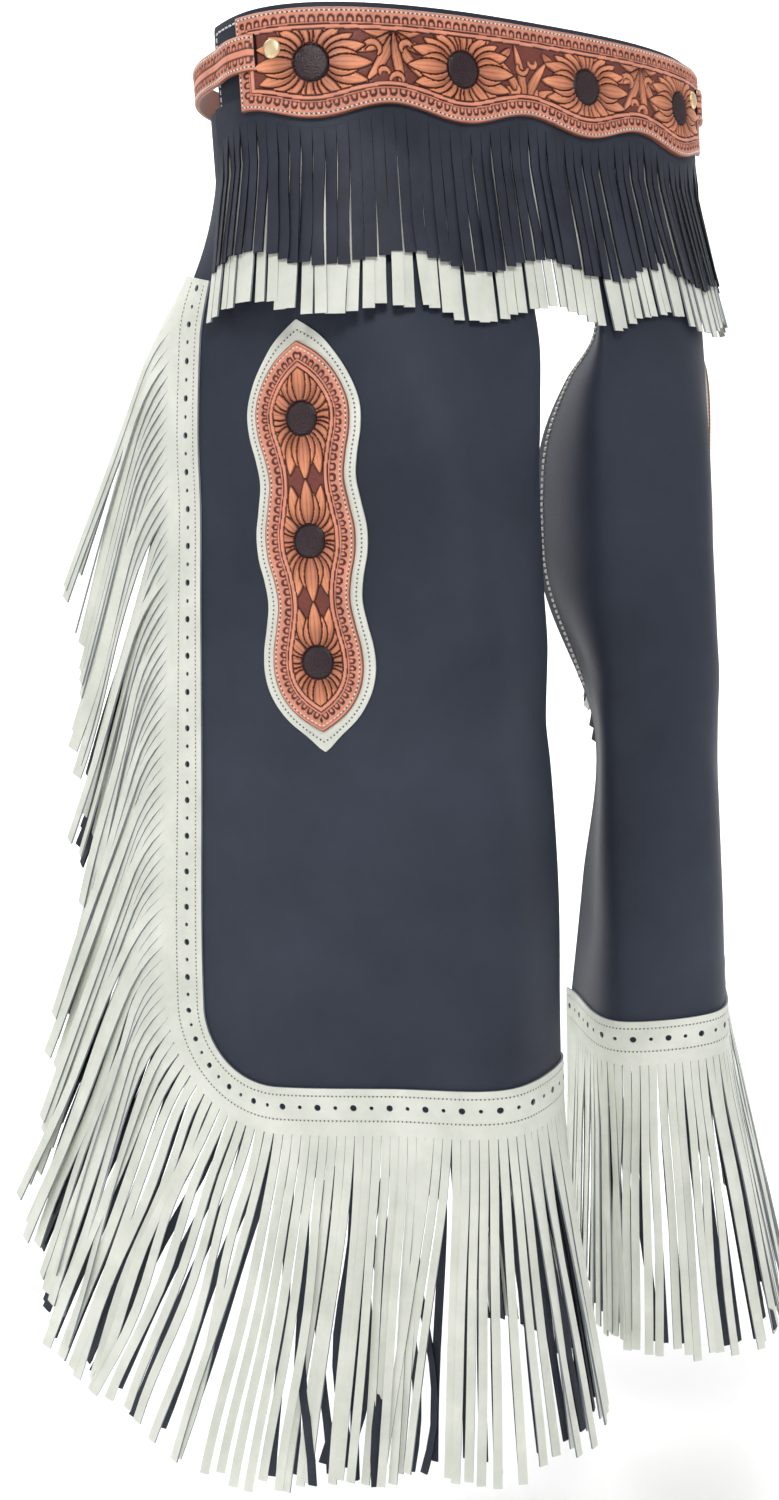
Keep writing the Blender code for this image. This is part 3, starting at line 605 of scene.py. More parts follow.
class StitchWork:
    """Gathers stitches and needle holes, then makes one mesh of each; the holes are dark discs of painted shade."""

    def __init__(self):
        self.points = []
        self.faces = []
        self.hole_points = []
        self.hole_faces = []

    def add(self, line, tops, pitch=0.0031, radius=0.00048, fill=0.62, hole=0.00056):
        """Stitches along a line; tops are points straight above it that give the upward way."""
        total = line_lengths(line)[-1]
        count = max(2, int(round(total / pitch)))
        middle = (np.arange(count) + 0.5) * total / count
        half = total / count * fill / 2
        start = walk(line, middle - half)
        end = walk(line, middle + half)
        up = unit(walk(tops, (middle / total) * line_lengths(tops)[-1]) - walk(line, middle))
        way = unit(end - start)
        up = unit(up - way * (up * way).sum(1, keepdims=True))
        across = np.cross(way, up)
        centre = (start + end) / 2
        length = np.linalg.norm(end - start, axis=1, keepdims=True)
        rings = []
        for place, size, lift in STITCH_RINGS:
            for k in range(STITCH_SIDES):
                angle = 2 * math.pi * (k + 0.25) / STITCH_SIDES
                rings.append(centre + way * length * place + up * radius * (lift + size * math.sin(angle))
                             + across * radius * size * math.cos(angle) * 1.15)
        ring_points = np.stack(rings, axis=1)
        each = len(STITCH_RINGS) * STITCH_SIDES
        shape = []
        for r in range(len(STITCH_RINGS) - 1):
            for k in range(STITCH_SIDES):
                a = r * STITCH_SIDES + k
                b = r * STITCH_SIDES + (k + 1) % STITCH_SIDES
                shape.append((a, a + STITCH_SIDES, b + STITCH_SIDES, b))
        caps = [tuple(range(STITCH_SIDES)), tuple(each - 1 - k for k in range(STITCH_SIDES))]
        base = sum(len(p) for p in self.points)
        self.points.append(ring_points.reshape(-1, 3))
        for n in range(count):
            first = base + n * each
            self.faces += [tuple(first + i for i in f) for f in shape + caps]
        # Needle holes: a dark disc of painted shade at each end of a stitch
        if hole:
            for spot in (start, end):
                disc = [spot + up * radius * 0.12 + hole * (way * math.cos(a) + across * math.sin(a))
                        for a in (k * math.pi / 3 for k in range(6))]
                base = sum(len(p) for p in self.hole_points)
                self.hole_points.append(np.stack(disc, axis=1).reshape(-1, 3))
                self.hole_faces += [tuple(base + n * 6 + k for k in range(6)) for n in range(count)]

    def make(self, name, look, shade_disc_look):
        add_mesh(name, np.concatenate(self.points), self.faces, [look])
        if self.hole_points:
            add_mesh(name + "_hole_shade_discs", np.concatenate(self.hole_points), self.hole_faces,
                     [shade_disc_look], flat=True)


# Carved relief: heights in millimetres and linear colours at flat places in millimetres
PETAL = srgb(236, 154, 116)
# Petal colour at its base, painted shade
PETAL_SHADED = srgb(132, 66, 50)
# Cut lines: their own dark stain, deepened with painted shade for the bevels and grooves
CUT_AND_SHADE = srgb(70, 30, 26)
GROUND = srgb(128, 64, 52)
BORDER = srgb(238, 158, 132)
# Arch stamp colour: darker stamped leather with painted shade in the recess
STAMPED_AND_SHADE = srgb(88, 38, 34)
DISC = srgb(24, 12, 19)
DISC_LIGHT = srgb(84, 54, 64)
# Edge colour: burnished dark edge, with painted shade along the edge
EDGE = srgb(70, 32, 28)


class Carving:
    """Tooled leather over flat places x, y: background first, then petals over it."""

    def __init__(self, x, y, depth, along, field_start):
        self.x = x
        self.y = y
        self.depth = depth
        self.along = along
        self.field = depth > field_start
        self.field_start = field_start
        stipple = np.sin(x * 3.9 + 1.3 * np.sin(y * 2.7)) * np.sin(y * 4.3 + 1.1 * np.sin(x * 3.1))
        self.height = np.where(self.field, -0.75 + 0.13 * stipple, 0.0)
        shade = (0.88 + 0.22 * stipple)[:, None]
        self.colour = np.where(self.field[:, None], GROUND * shade, BORDER)

    def paint(self, mask, height, colour):
        mask = mask & self.field
        self.height[mask] = np.broadcast_to(height, mask.shape)[mask]
        self.colour[mask] = np.broadcast_to(colour, self.colour.shape)[mask]

    def leaf(self, root, angle, start, length, half, bend=0.0, veins=3.0, rise=0.55, widest=0.8):
        dx = self.x - root[0]
        dy = self.y - root[1]
        a = dx * math.cos(angle) + dy * math.sin(angle)
        b = -dx * math.sin(angle) + dy * math.cos(angle)
        f = np.clip((a - start) / (length - start), 0.0, 1.0)
        b = b - bend * (length - start) * f * f
        w = half * np.sin(math.pi * f ** widest) ** 0.75
        near = (a > start - 0.3) & (a < length + 0.8)
        halo = near & (np.abs(b) < w + 0.75)
        inside = (a > start) & (a < length) & (np.abs(b) < w)
        across = np.where(w > 0, b / np.maximum(w, 1e-6), 0.0)
        rim = smooth((w - np.abs(b)) / 0.9)
        lines = (0.5 + 0.5 * np.cos(across * math.pi * veins)) ** 5 * np.clip(1.15 - f, 0.0, 1.0)
        height = -0.75 + rise + 0.35 * rim + 0.18 * (1.0 - across ** 2) - 0.16 * lines
        # Painted light and shade: petals darker at the base, lighter to the tip and along the middle, and darkened
        # towards their edges
        light = np.clip(0.12 + 1.05 * f ** 0.8 + 0.15 * (1.0 - across ** 2), 0.0, 1.12)[:, None]
        colour = PETAL_SHADED + (PETAL - PETAL_SHADED) * light
        colour = colour + (CUT_AND_SHADE - colour) * (0.62 * lines)[:, None]
        colour = CUT_AND_SHADE + (colour - CUT_AND_SHADE) * (0.15 + 0.85 * rim)[:, None]
        # Dark groove round the petal: cut line with painted shade at its steep bevel
        self.paint(halo, -1.05, CUT_AND_SHADE)
        self.paint(inside, height, colour)

    def curl(self, centre, radius, first, sweep, half):
        """A leaf bent round into a hook: it winds in from its thick end."""
        dx = self.x - centre[0]
        dy = self.y - centre[1]
        turn = math.copysign(1.0, sweep) * (np.arctan2(dy, dx) - first)
        f = (turn % (2.0 * math.pi)) / abs(sweep)
        b = np.hypot(dx, dy) - radius * (1.0 - 0.55 * f)
        w = np.where(f < 1.0, half * np.sin(math.pi * np.clip(0.12 + 0.88 * f, 0.0, 1.0)) ** 0.6, 0.0)
        # Dark groove round the curl: cut line with painted shade
        self.paint((np.abs(b) < w + 0.7) & (f < 1.0), -1.05, CUT_AND_SHADE)
        rim = smooth((w - np.abs(b)) / 0.9)
        # Painted shade: the curl darker towards its edges
        light = (0.55 + 0.45 * rim)[:, None]
        self.paint((np.abs(b) < w) & (f < 1.0), -0.20 + 0.42 * rim, CUT_AND_SHADE + (PETAL * 0.92 - CUT_AND_SHADE) * light)

    def flower(self, centre, axis, reach, disc):
        """Short petals all round, longer pointed ones both ways along the axis, and a seeded disc."""
        for turn in (0.0, math.pi):
            for k in range(-3, 4):
                tilt = 13.0 * k + 2.5 * math.sin(2.3 * k + turn + centre[0] * 0.1)
                self.leaf(centre, axis + math.pi / 2 + turn + math.radians(tilt), disc - 1.5,
                          reach * 0.78, 3.3, bend=0.05 * k, veins=2.0)
            for k, length in ((-2.2, 0.76), (2.2, 0.76), (-1.5, 0.86), (1.5, 0.86)):
                self.leaf(centre, axis + turn + math.radians(25.0 * k), disc - 1.5, reach * length, 3.9,
                          bend=-0.09 * k, veins=2.0)
            for k, length in ((-1.0, 0.99), (1.0, 0.97), (-0.5, 0.80), (0.5, 0.82), (0.0, 1.05)):
                self.leaf(centre, axis + turn + math.radians(25.0 * k), disc - 1.5, reach * length, 4.6,
                          bend=-0.19 * k, veins=3.0, rise=0.68, widest=0.9)
        dx = self.x - centre[0]
        dy = self.y - centre[1]
        r = np.hypot(dx, dy)
        turn = np.arctan2(dy, dx)
        rings = np.round(r / 1.5)
        seeds = np.cos(2.0 * math.pi * r / 1.5) * np.cos(turn * np.round(rings * 5.2) + rings * 1.7)
        # Dark ring round the disc: cut line with painted shade
        self.paint(r < disc + 0.9, -1.05, CUT_AND_SHADE * 0.6)
        dome = 0.25 + 0.35 * (1.0 - (r / disc) ** 2) + 0.30 * seeds
        # Painted light: seeds lighter on their raised tops, and painted shade on the disc's low rim
        mix = np.clip(0.22 + 0.60 * seeds, 0.0, 1.0)[:, None]
        self.paint(r < disc, dome - 0.2, DISC + (DISC_LIGHT - DISC) * mix)
        self.paint((r < disc) & (r > disc - 0.9), -0.25, DISC * 0.8)

    def arches(self, base, top, radius, pitch):
        """A row of arch stamps with their closed side to the edge."""
        p = (self.along / pitch - np.floor(self.along / pitch) - 0.5) * pitch
        q = base - self.depth
        outer = (q > 0) & (np.hypot(p, np.maximum(q - (top - radius), 0.0)) < radius)
        inner = (q > -0.5) & (np.hypot(p, np.maximum(q - (top - radius) * 0.7, 0.0)) < radius * 0.48)
        rim = (q > -0.3) & (q < 0.5)
        # Stamp recesses and the line along the arches' base: darker stamped leather partly, painted shade partly
        self.height[outer] = -0.55
        self.colour[outer] = STAMPED_AND_SHADE
        self.height[inner & outer] = -0.08
        self.colour[inner & outer] = BORDER * 0.88
        self.height[rim] -= 0.16
        self.colour[rim] = self.colour[rim] * 0.45 + STAMPED_AND_SHADE * 0.55
        band = (self.depth > base - top - 1.4) & (self.depth < base + 0.6) & ~outer
        self.colour[band] = self.colour[band] * 0.88

    def border(self, scale=1.0, edge=1.3):
        """Edge, stitch groove, two cut lines and the raised line between them round the field."""
        d = self.depth
        start = self.field_start
        ridge_out = start - 2.9 * scale
        for line in (start, ridge_out):
            # Two cut lines round the field, dark with painted shade
            cut = np.abs(d - line) < 0.50
            self.height[cut] = -0.55
            self.colour[cut] = CUT_AND_SHADE
        ridge = (d > ridge_out + 0.42) & (d < start - 0.42)
        across = (d - (start + ridge_out) / 2) / (start - ridge_out - 0.84) * 2.0
        self.height[ridge] = (0.10 + 0.30 * (1.0 - across ** 2))[ridge]
        self.colour[ridge] = (BORDER * 0.98)
        self.edging(edge)

    def edging(self, edge=1.3):
        d = self.depth
        groove = np.exp(-((d - 2.2) / 0.5) ** 2)
        self.height -= np.where(d < 4.0, 0.18 * groove, 0.0)
        self.colour = self.colour * (1.0 - 0.42 * np.where(d < 4.0, groove, 0.0))[:, None]
        # Dark band at the edge: burnished edge partly, painted shade partly
        wear_and_shade = smooth((edge - d) / edge)
        self.height -= 0.7 * wear_and_shade ** 2
        self.colour = self.colour + (EDGE - self.colour) * (wear_and_shade * 0.95)[:, None]


def nearest_on(loop, x, y):
    """Depth inside a closed outline and distance along it, for flat places."""
    ends = np.roll(loop, -1, axis=0)
    way = ends - loop
    size = np.maximum((way ** 2).sum(1), 1e-12)
    lengths = np.concatenate(([0.0], np.cumsum(np.sqrt(size))))
    best = np.full(len(x), 1e9)
    along = np.zeros(len(x))
    chunk = 6000
    for first in range(0, len(x), chunk):
        px = x[first:first + chunk, None]
        py = y[first:first + chunk, None]
        f = np.clip(((px - loop[:, 0]) * way[:, 0] + (py - loop[:, 1]) * way[:, 1]) / size, 0.0, 1.0)
        gap = np.hypot(px - loop[:, 0] - f * way[:, 0], py - loop[:, 1] - f * way[:, 1])
        k = gap.argmin(1)
        row = np.arange(len(k))
        best[first:first + chunk] = gap[row, k]
        along[first:first + chunk] = lengths[k] + f[row, k] * np.sqrt(size[k])
    return best, along, lengths[-1]


def belt_bottom(u):
    return BELT_BOTTOM - SCALLOP * np.cos(2.0 * math.pi * ((u - BELT_TURN) / FLOWER_PITCH - 0.5))


def belt_loop(inset, step=0.0015):
    """Closed outline of the belt, drawn in, as (u, z)."""
    first = BELT_TURN - BELT_HALF_LENGTH + inset
    last = BELT_TURN + BELT_HALF_LENGTH - inset
    u = np.linspace(first, last, int((last - first) / step))
    low = belt_bottom(u) + inset
    right = np.linspace(low[-1], BELT_TOP - inset, 40)[1:-1]
    left = np.linspace(BELT_TOP - inset, low[0], 40)[1:-1]
    us = np.concatenate((u, np.full(len(right), last), u[::-1], np.full(len(left), first)))
    zs = np.concatenate((low, right, np.full(len(u), BELT_TOP - inset), left))
    return np.column_stack((us, zs))


def closed(points):
    return np.concatenate((points, points[:1]))


FIELD = 13.2
BELT_COLUMNS = 640
BELT_ROWS = 112
DISC_RADIUS = 11.0


def belt_scrolls(carving):
    """Leaves on stems between the flowers, rooted in turn at the top and the bottom."""
    for gap, way in ((-1, -1.0), (0, 1.0), (1, -1.0)):
        middle = (BELT_TURN + gap * FLOWER_PITCH) / MM
        root = (middle - 3.0 * way, -19.5 * way)
        up = math.pi / 2 * way
        for turn, length, half, bend in ((70.0, 23.0, 3.0, 0.62), (-66.0, 22.0, 3.0, -0.60),
                                         (44.0, 31.0, 3.4, 0.42), (-40.0, 28.0, 3.4, -0.46),
                                         (21.0, 38.0, 3.3, 0.30), (-17.0, 36.0, 3.5, -0.28),
                                         (2.0, 40.0, 3.2, 0.14)):
            carving.leaf(root, up + math.radians(turn), 0.0, length, half, bend=bend, veins=3.0,
                         widest=0.95)
        for side in (-1.0, 1.0):
            tip = (middle + 13.0 * side, 17.0 * way)
            carving.leaf(tip, up + math.radians(180.0 + 40.0 * side * way), 0.0, 15.0, 2.6,
                         bend=0.3 * side * way, veins=2.0)
            carving.curl((middle + 10.5 * side, (-8.0 - side) * way), 6.0 + 0.9 * side * way,
                         math.pi / 2 * (1.0 - side), -4.0 * side * way, 1.9)
            carving.curl((middle + 5.0 * side, (8.5 + 2.0 * side) * way), 4.8 - 0.7 * side * way,
                         math.pi / 2 * (1.0 + side), 3.7 * side * way, 1.6)


def make_belt(stitches):
    fx, fy = grid_places(BELT_COLUMNS, BELT_ROWS)
    u = BELT_TURN + (2.0 * fx - 1.0) * BELT_HALF_LENGTH
    low = belt_bottom(u)
    z = low + (BELT_TOP - low) * fy
    loop = belt_loop(0.0) / MM
    depth, along, total = nearest_on(loop, u / MM, z / MM)
    carving = Carving(u / MM, z / MM, depth, along, FIELD)
    belt_scrolls(carving)
    for k in (-1.5, -0.5, 0.5, 1.5):
        carving.flower(((BELT_TURN + k * FLOWER_PITCH) / MM, 0.0), 0.0, 37.0, DISC_RADIUS)
    carving.arches(8.9, 4.7, 2.35, total / round(total / 6.0))
    carving.border()
    front = hip(u, z, BELT_OFF + BELT_T + carving.height * MM)
    row = np.linspace(0.0, 1.0, BELT_COLUMNS + 1)
    u_back = BELT_TURN + (2.0 * row - 1.0) * BELT_HALF_LENGTH
    back = np.concatenate((hip(u_back, belt_bottom(u_back), BELT_OFF), hip(u_back, BELT_TOP, BELT_OFF)))
    points, faces, kinds = straps_of_grid(front, BELT_ROWS, BELT_COLUMNS, back, 1)
    tint = np.concatenate((carving.colour, np.broadcast_to(EDGE, (len(back), 3))))
    made = add_mesh("tooled_belt", points, faces, [TOOLED_LOOK, FLESH_LOOK, EDGE_LOOK], kinds, tint)
    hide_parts("belt_front")
    line = closed(belt_loop(2.2 * MM))
    stitches.add(hip(line[:, 0], line[:, 1], BELT_OFF + BELT_T - 0.00012),
                 hip(line[:, 0], line[:, 1], BELT_OFF + BELT_T + 0.002))
    return made


def make_liner(stitches):
    span = BELT_HALF_LENGTH + LINER_EXTRA
    columns, rows = 200, 24
    fx, fy = grid_places(columns, rows)
    u = BELT_TURN + (2.0 * fx - 1.0) * span
    z = LINER_BOTTOM + (LINER_TOP - LINER_BOTTOM) * fy
    roll = 0.0005 * (smooth((np.abs(fy - 0.5) - 0.47) / 0.03) + smooth((np.abs(fx - 0.5) - 0.492) / 0.008))
    front = hip(u, z, LINER_OFF + LINER_T - roll)
    back = hip(u, z, LINER_OFF + roll * 0.4)
    points, faces, kinds = slab(front, back, grid_faces(columns, rows))
    made = add_mesh("belt_backing", points, faces, [BLACK_LOOK, FLESH_LOOK, BLACK_LOOK], kinds)
    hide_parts("belt_liner")
    for end in (-1.0, 1.0):
        outer = BELT_TURN + end * (span - 0.005)
        inner = BELT_TURN + end * (BELT_HALF_LENGTH - 0.004)
        us = np.concatenate((np.linspace(inner, outer, 30), np.full(30, outer),
                             np.linspace(outer, inner, 30)))
        high = LINER_TOP - 0.005
        low = LINER_BOTTOM + 0.004
        zs = np.concatenate((np.full(30, high), np.linspace(high, low, 30), np.full(30, low)))
        stitches.add(hip(us, zs, LINER_OFF + LINER_T + 0.0001), hip(us, zs, LINER_OFF + LINER_T + 0.002),
                     pitch=0.0046, radius=0.00058, fill=0.70, hole=0.0)
    return made


def smoothed_noise(rng, count, width):
    """Random values that change slowly from one strand to the next, about 1 in size."""
    kernel = np.hanning(width + 2)[1:-1]
    raw = np.convolve(rng.normal(0.0, 1.0, count + width - 1), kernel, "valid")
    return raw / max(raw.std(), 1e-6)


def bundles(rng, count, fewest, most):
    """One random value for each run of neighbouring strands."""
    values = np.zeros(count)
    first = 0
    while first < count:
        size = int(rng.integers(fewest, most + 1))
        values[first:first + size] = rng.normal()
        first += size
    return values


class Strands:
    """Gathers ribbon strands and strips, then makes one mesh."""

    def __init__(self):
        self.points = []
        self.faces = []
        self.count = 0
        self.kinds = []

    def put(self, points, faces, kinds):
        base = self.count
        self.points.append(points)
        self.faces += [tuple(base + i for i in f) for f in faces]
        # Side walls take each piece's second look, which is painted shade
        self.kinds += [int(kind == 2) for kind in kinds]
        self.count += len(points)

    def ribbon(self, left, middle, right, normals, thickness):
        """left, middle and right are rows of points down the strand's back face."""
        rows = len(left)
        back = np.stack((left, middle, right), axis=1).reshape(-1, 3)
        lift = np.repeat(normals, 3, axis=0) * thickness
        points, faces, kinds = slab(back + lift, back, grid_faces(2, rows - 1))
        self.put(points, faces, kinds)


def belt_fringe(name, node_name, off, tip, looks, seed, spread, jitter, fill, turn):
    """One layer of belt fringe: a strip under the belt and its strands."""
    rng = np.random.default_rng(seed)
    strands = Strands()
    span = BELT_HALF_LENGTH + LINER_EXTRA - 0.001
    columns = 160
    fx, fy = grid_places(columns, 6)
    u = BELT_TURN + (2.0 * fx - 1.0) * span
    root = belt_bottom(u) - BELT_FRINGE_DROP
    z = root + (BELT_FRINGE_TOP - root) * fy
    points, faces, kinds = slab(hip(u, z, off + FRINGE_T), hip(u, z, off), grid_faces(columns, 6))
    strands.put(points, faces, kinds)
    pitch = 2.0 * span / BELT_STRANDS
    parts = 10
    drop = np.linspace(0.0, 1.0, parts + 1)
    leans = smoothed_noise(rng, BELT_STRANDS, 5)
    area = 2.0 * span * 0.020
    for k in range(BELT_STRANDS):
        centre = BELT_TURN - span + pitch * (k + 0.5)
        cut = math.cos(2.0 * math.pi * ((centre - BELT_TURN) / FLOWER_PITCH - 0.5))
        end = tip - TIP_WAVE * cut + rng.normal(0.0, 0.0012)
        end = end + SIDE_TIP_RISE * float(smooth((-0.13 - centre) / 0.05))
        inward = math.radians(7.0) * float(smooth((centre - 0.13) / 0.07))
        lean = math.radians(spread * leans[k] + jitter * rng.normal()) - inward
        wave = 0.0006 * rng.normal() * np.sin(math.pi * 2.0 * drop + rng.uniform(0, 6.3)) * drop
        reach = math.tan(lean) * (belt_bottom(centre) - end)
        us = centre + reach * drop ** 1.4 + wave
        facing = min(max((centre + 0.12) / 0.07, -1.0), 1.0)
        twist = math.radians(rng.normal(0.0, 3.0) - turn * facing) * smooth(drop * 4.0)
        curl = rng.uniform(0.0, 0.0020) * drop ** 2 + 0.0006 * smooth(drop * 5.0) * (k % 2)
        width = pitch * fill / 2
        du = width * np.cos(twist)
        do = width * np.sin(twist)
        lift = np.abs(do) * 0.6 + curl
        rows = []
        for place, rise in ((-1.0, -do), (0.0, 0.0002 * smooth(drop * 8.0)), (1.0, do)):
            start = belt_bottom(centre + place * width) - BELT_FRINGE_DROP
            rows.append(hip(us + place * du, start + (end - start) * drop, off + lift + rise))
        middle_z = belt_bottom(centre) - BELT_FRINGE_DROP + (end - belt_bottom(centre)) * drop
        normals = unit(hip(us, middle_z, off + 0.001) - hip(us, middle_z, off))
        strands.ribbon(*rows, normals, FRINGE_T)
        area += 2.0 * width * (belt_bottom(centre) - end)
    made = add_mesh(name, np.concatenate(strands.points), strands.faces, looks, strands.kinds)
    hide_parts(node_name)
    return made


def make_panel(side, label, stitches):
    columns, rows = 88, 132
    fx, fy = grid_places(columns, rows)
    t = cut_t(fx, 1.0 - fy)
    outer = mirrored(leg_point(fx, t, 0.0), side)
    inner = mirrored(leg_point(fx, t, -PANEL_T), side)
    points, faces, kinds = slab(outer, inner, outward(grid_faces(columns, rows), side))
    made = add_mesh("leg_leather_" + label, points, faces, [BLACK_LOOK, FLESH_LOOK, BLACK_LOOK], kinds)
    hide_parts("leg_panel_" + label)
    t_line = np.linspace(0.06, 0.60, 260)
    s_line = np.full(len(t_line), 0.034)
    stitches.add(mirrored(leg_point(s_line, t_line, 0.0001), side),
                 mirrored(leg_point(s_line, t_line, 0.002), side),
                 pitch=0.0046, radius=0.00120, fill=0.68, hole=0.0)
    return made


def ring_of_hole(n):
    """Grid corners round a four by four block, in turn, starting at its first corner."""
    return ([(i, 0) for i in range(n)] + [(n, j) for j in range(n)]
            + [(n - i, n) for i in range(n)] + [(0, n - j) for j in range(n)])


def border_strip():
    """Flat mesh of the strip with its punched holes: places (v, inset) and faces."""
    cells = 4
    columns = HOLE_CELLS * cells
    pitch = PATH_LENGTH / HOLE_CELLS
    high = HOLE_INSET + pitch / 2
    low = HOLE_INSET - pitch / 2
    insets = ([-BORDER_MARGIN, -0.0035, 0.0, STITCH_OUTER] + list(np.linspace(low, high, cells + 1))
              + [STITCH_INNER, 0.0245, BORDER_WIDTH])
    block = 4
    places = [(i * pitch / cells, inset) for inset in insets for i in range(columns + 1)]
    faces = []
    for j in range(len(insets) - 1):
        if block <= j < block + cells:
            continue
        for i in range(columns):
            a = j * (columns + 1) + i
            faces.append((a, a + 1, a + columns + 2, a + columns + 1))
    corners = ring_of_hole(cells)
    for cell in range(HOLE_CELLS):
        radius = HOLE_BIG if cell % 2 == 0 else HOLE_SMALL
        centre = (cell + 0.5) * pitch
        outer = [(block + j) * (columns + 1) + cell * cells + i for i, j in corners]
        rings = [outer]
        for size in (radius * 1.6, radius):
            ring = []
            for i, j in corners:
                angle = math.atan2(j - cells / 2, i - cells / 2)
                ring.append(len(places))
                places.append((centre + size * math.cos(angle), HOLE_INSET + size * math.sin(angle)))
            rings.append(ring)
        for ring, inner in zip(rings, rings[1:]):
            for k in range(len(ring)):
                n = (k + 1) % len(ring)
                faces.append((ring[k], ring[n], inner[n], inner[k]))
    used = sorted({i for f in faces for i in f})
    index = {old: new for new, old in enumerate(used)}
    places = np.array([places[i] for i in used])
    faces = [tuple(index[i] for i in f) for f in faces]
    return places[:, 0], places[:, 1], faces


def turned(vector, axis, angle):
    c = np.cos(angle)[:, None]
    s = np.sin(angle)[:, None]
    part_along = axis * (axis * vector).sum(1, keepdims=True)
    return vector * c + np.cross(axis, vector) * s + part_along * (1.0 - c)


def strand_cuts(first, count):
    """Places along the border where the strands are cut apart."""
    v = PATH_LENGTH * np.linspace(first, 1.0, 800)
    wide = smooth((WIDE_GONE - v / PATH_LENGTH) / (WIDE_GONE - WIDE_UNTIL))
    rate = 1.0 / (1.0 + (WIDE_SHARE - 1.0) * wide)
    number = np.concatenate(([0.0], np.cumsum((rate[1:] + rate[:-1]) / 2)))
    return np.interp(np.linspace(0.0, number[-1], count + 1), number, v)


def leg_strands(strands, count, first, margin, off, share, depth, seed, fill, looseness):
    """Ribbons off the leg's edge: out over the edge, then down with a lean, in loose bundles."""
    rng = np.random.default_rng(seed)
    cuts = strand_cuts(first, count)
    v = (cuts[1:] + cuts[:-1]) / 2
    s, _, normal, along, away = border_frame(v)
    off_side = away * np.array((1.0, 1.0, 0.0))
    off_front = normal * np.array((1.0, 1.0, 0.0))
    sideways = np.linalg.norm(off_side, axis=1)
    inner = INNER_LEAN + (1.0 - INNER_LEAN) * smooth((s - 0.15) / 0.25)
    bundle = 0.8 * bundles(rng, count, 4, 9) + 0.4 * smoothed_noise(rng, count, 5)
    single = rng.normal(0.0, 1.0, count)
    stray = np.where(rng.random(count) < 0.07, rng.normal(0.0, 3.0, count), 0.0)
    side_angle = SIDE_LEAN + np.radians(looseness * (2.4 * bundle + 0.7 * single + stray))
    high = 1.0 - smooth(v / PATH_LENGTH / 0.25)
    side_angle = side_angle + TOP_LEAN * high
    side_lean = np.tan(np.clip(side_angle, math.radians(9.0), SIDE_LEAN_MOST + TOP_LEAN * high))
    front_lean = math.tan(HEM_LEAN) * inner * (1.0 - 0.8 * sideways)
    front_lean = front_lean + np.radians(looseness * 0.7) * rng.normal(0.0, 1.0, count) * inner
    swing = 2.3 * bundles(rng, count, 3, 8) + 0.35 * rng.normal(0.0, 1.0, count) + 0.5 * stray
    calm = 1.0 - 0.6 * smooth((v / PATH_LENGTH - 0.74) / 0.12)
    swing = np.radians(looseness * swing) * (1.0 - sideways) * calm
    past = v - v[np.argmin(np.abs(sideways - 0.5))]
    swing = swing - CORNER_LEAN * smooth((past + 0.05) / 0.06) * np.exp(-np.maximum(past, 0.0) / CORNER_REACH)
    lean = off_side * side_lean[:, None] + off_front * front_lean[:, None] + along * swing[:, None]
    hang = unit(np.column_stack((lean[:, 0], lean[:, 1], -np.ones(count))))
    length = share * np.interp(v / PATH_LENGTH, FRINGE_SHARES, FRINGE_LENGTHS)
    length = length * (1.0 + 0.012 * single + 0.010 * bundle)
    half = (cuts[1:] - cuts[:-1]) * fill / 2
    centre = border_point(v, -margin, off)
    twist_end = np.radians(rng.normal(0.0, 16.0, count) * looseness / 1.6) * calm
    wave_size = 0.0013 * looseness * (1.0 + 0.3 * rng.normal(0.0, 1.0, count)) * bundles(rng, count, 5, 12)
    wave_phase = 2.2 * smoothed_noise(rng, count, 11)
    pushed = 0.0016 * looseness * bundle * (0.3 + 0.7 * sideways) + 0.0007 * rng.normal(0.0, 1.0, count)
    rows = []
    path = centre.copy()
    for m, reached in enumerate(STRAND_STEPS):
        distance = length * reached
        if m:
            step = distance - length * STRAND_STEPS[m - 1]
            bend = START_SHARE + (1.0 - START_SHARE) * smooth((distance - step / 2) / BEND_LENGTH)
            way = unit(away * (1.0 - bend)[:, None] + hang * bend[:, None])
            path = path + way * step[:, None]
        bend = START_SHARE + (1.0 - START_SHARE) * smooth(distance / BEND_LENGTH)
        way = unit(away * (1.0 - bend)[:, None] + hang * bend[:, None]) if m else away
        width = unit(along - way * (along * way).sum(1, keepdims=True))
        angle = LOUVRE_ANGLE * sideways * smooth(distance / LOUVRE_LENGTH) + twist_end * smooth(distance / 0.16)
        width = turned(width, way, angle)
        up = unit(np.cross(width, way))
        sunk = path - normal * ((depth + pushed) * smooth(distance / BEND_LENGTH))[:, None]
        ripple_size = wave_size * np.sin(distance / 0.034 + wave_phase) * smooth(distance / 0.07)
        sunk = sunk + width * ripple_size[:, None]
        taper = 1.0 - 0.015 * smooth(distance / 0.03) + 0.03 * smooth((distance - 0.05) / 0.15)
        reach = width * (half * taper)[:, None]
        rows.append((sunk - reach, sunk + up * 0.00022, sunk + reach, up))
    flipped = (rows[0][3] * normal).sum(1) < 0.0
    for k in range(count):
        left = np.array([row[0][k] for row in rows])
        middle = np.array([row[1][k] for row in rows])
        right = np.array([row[2][k] for row in rows])
        ups = np.array([row[3][k] for row in rows])
        if flipped[k]:
            ups = -ups
        strands.ribbon(left, middle, right, ups, FRINGE_T)
    return float((length * 2.0 * half).sum())


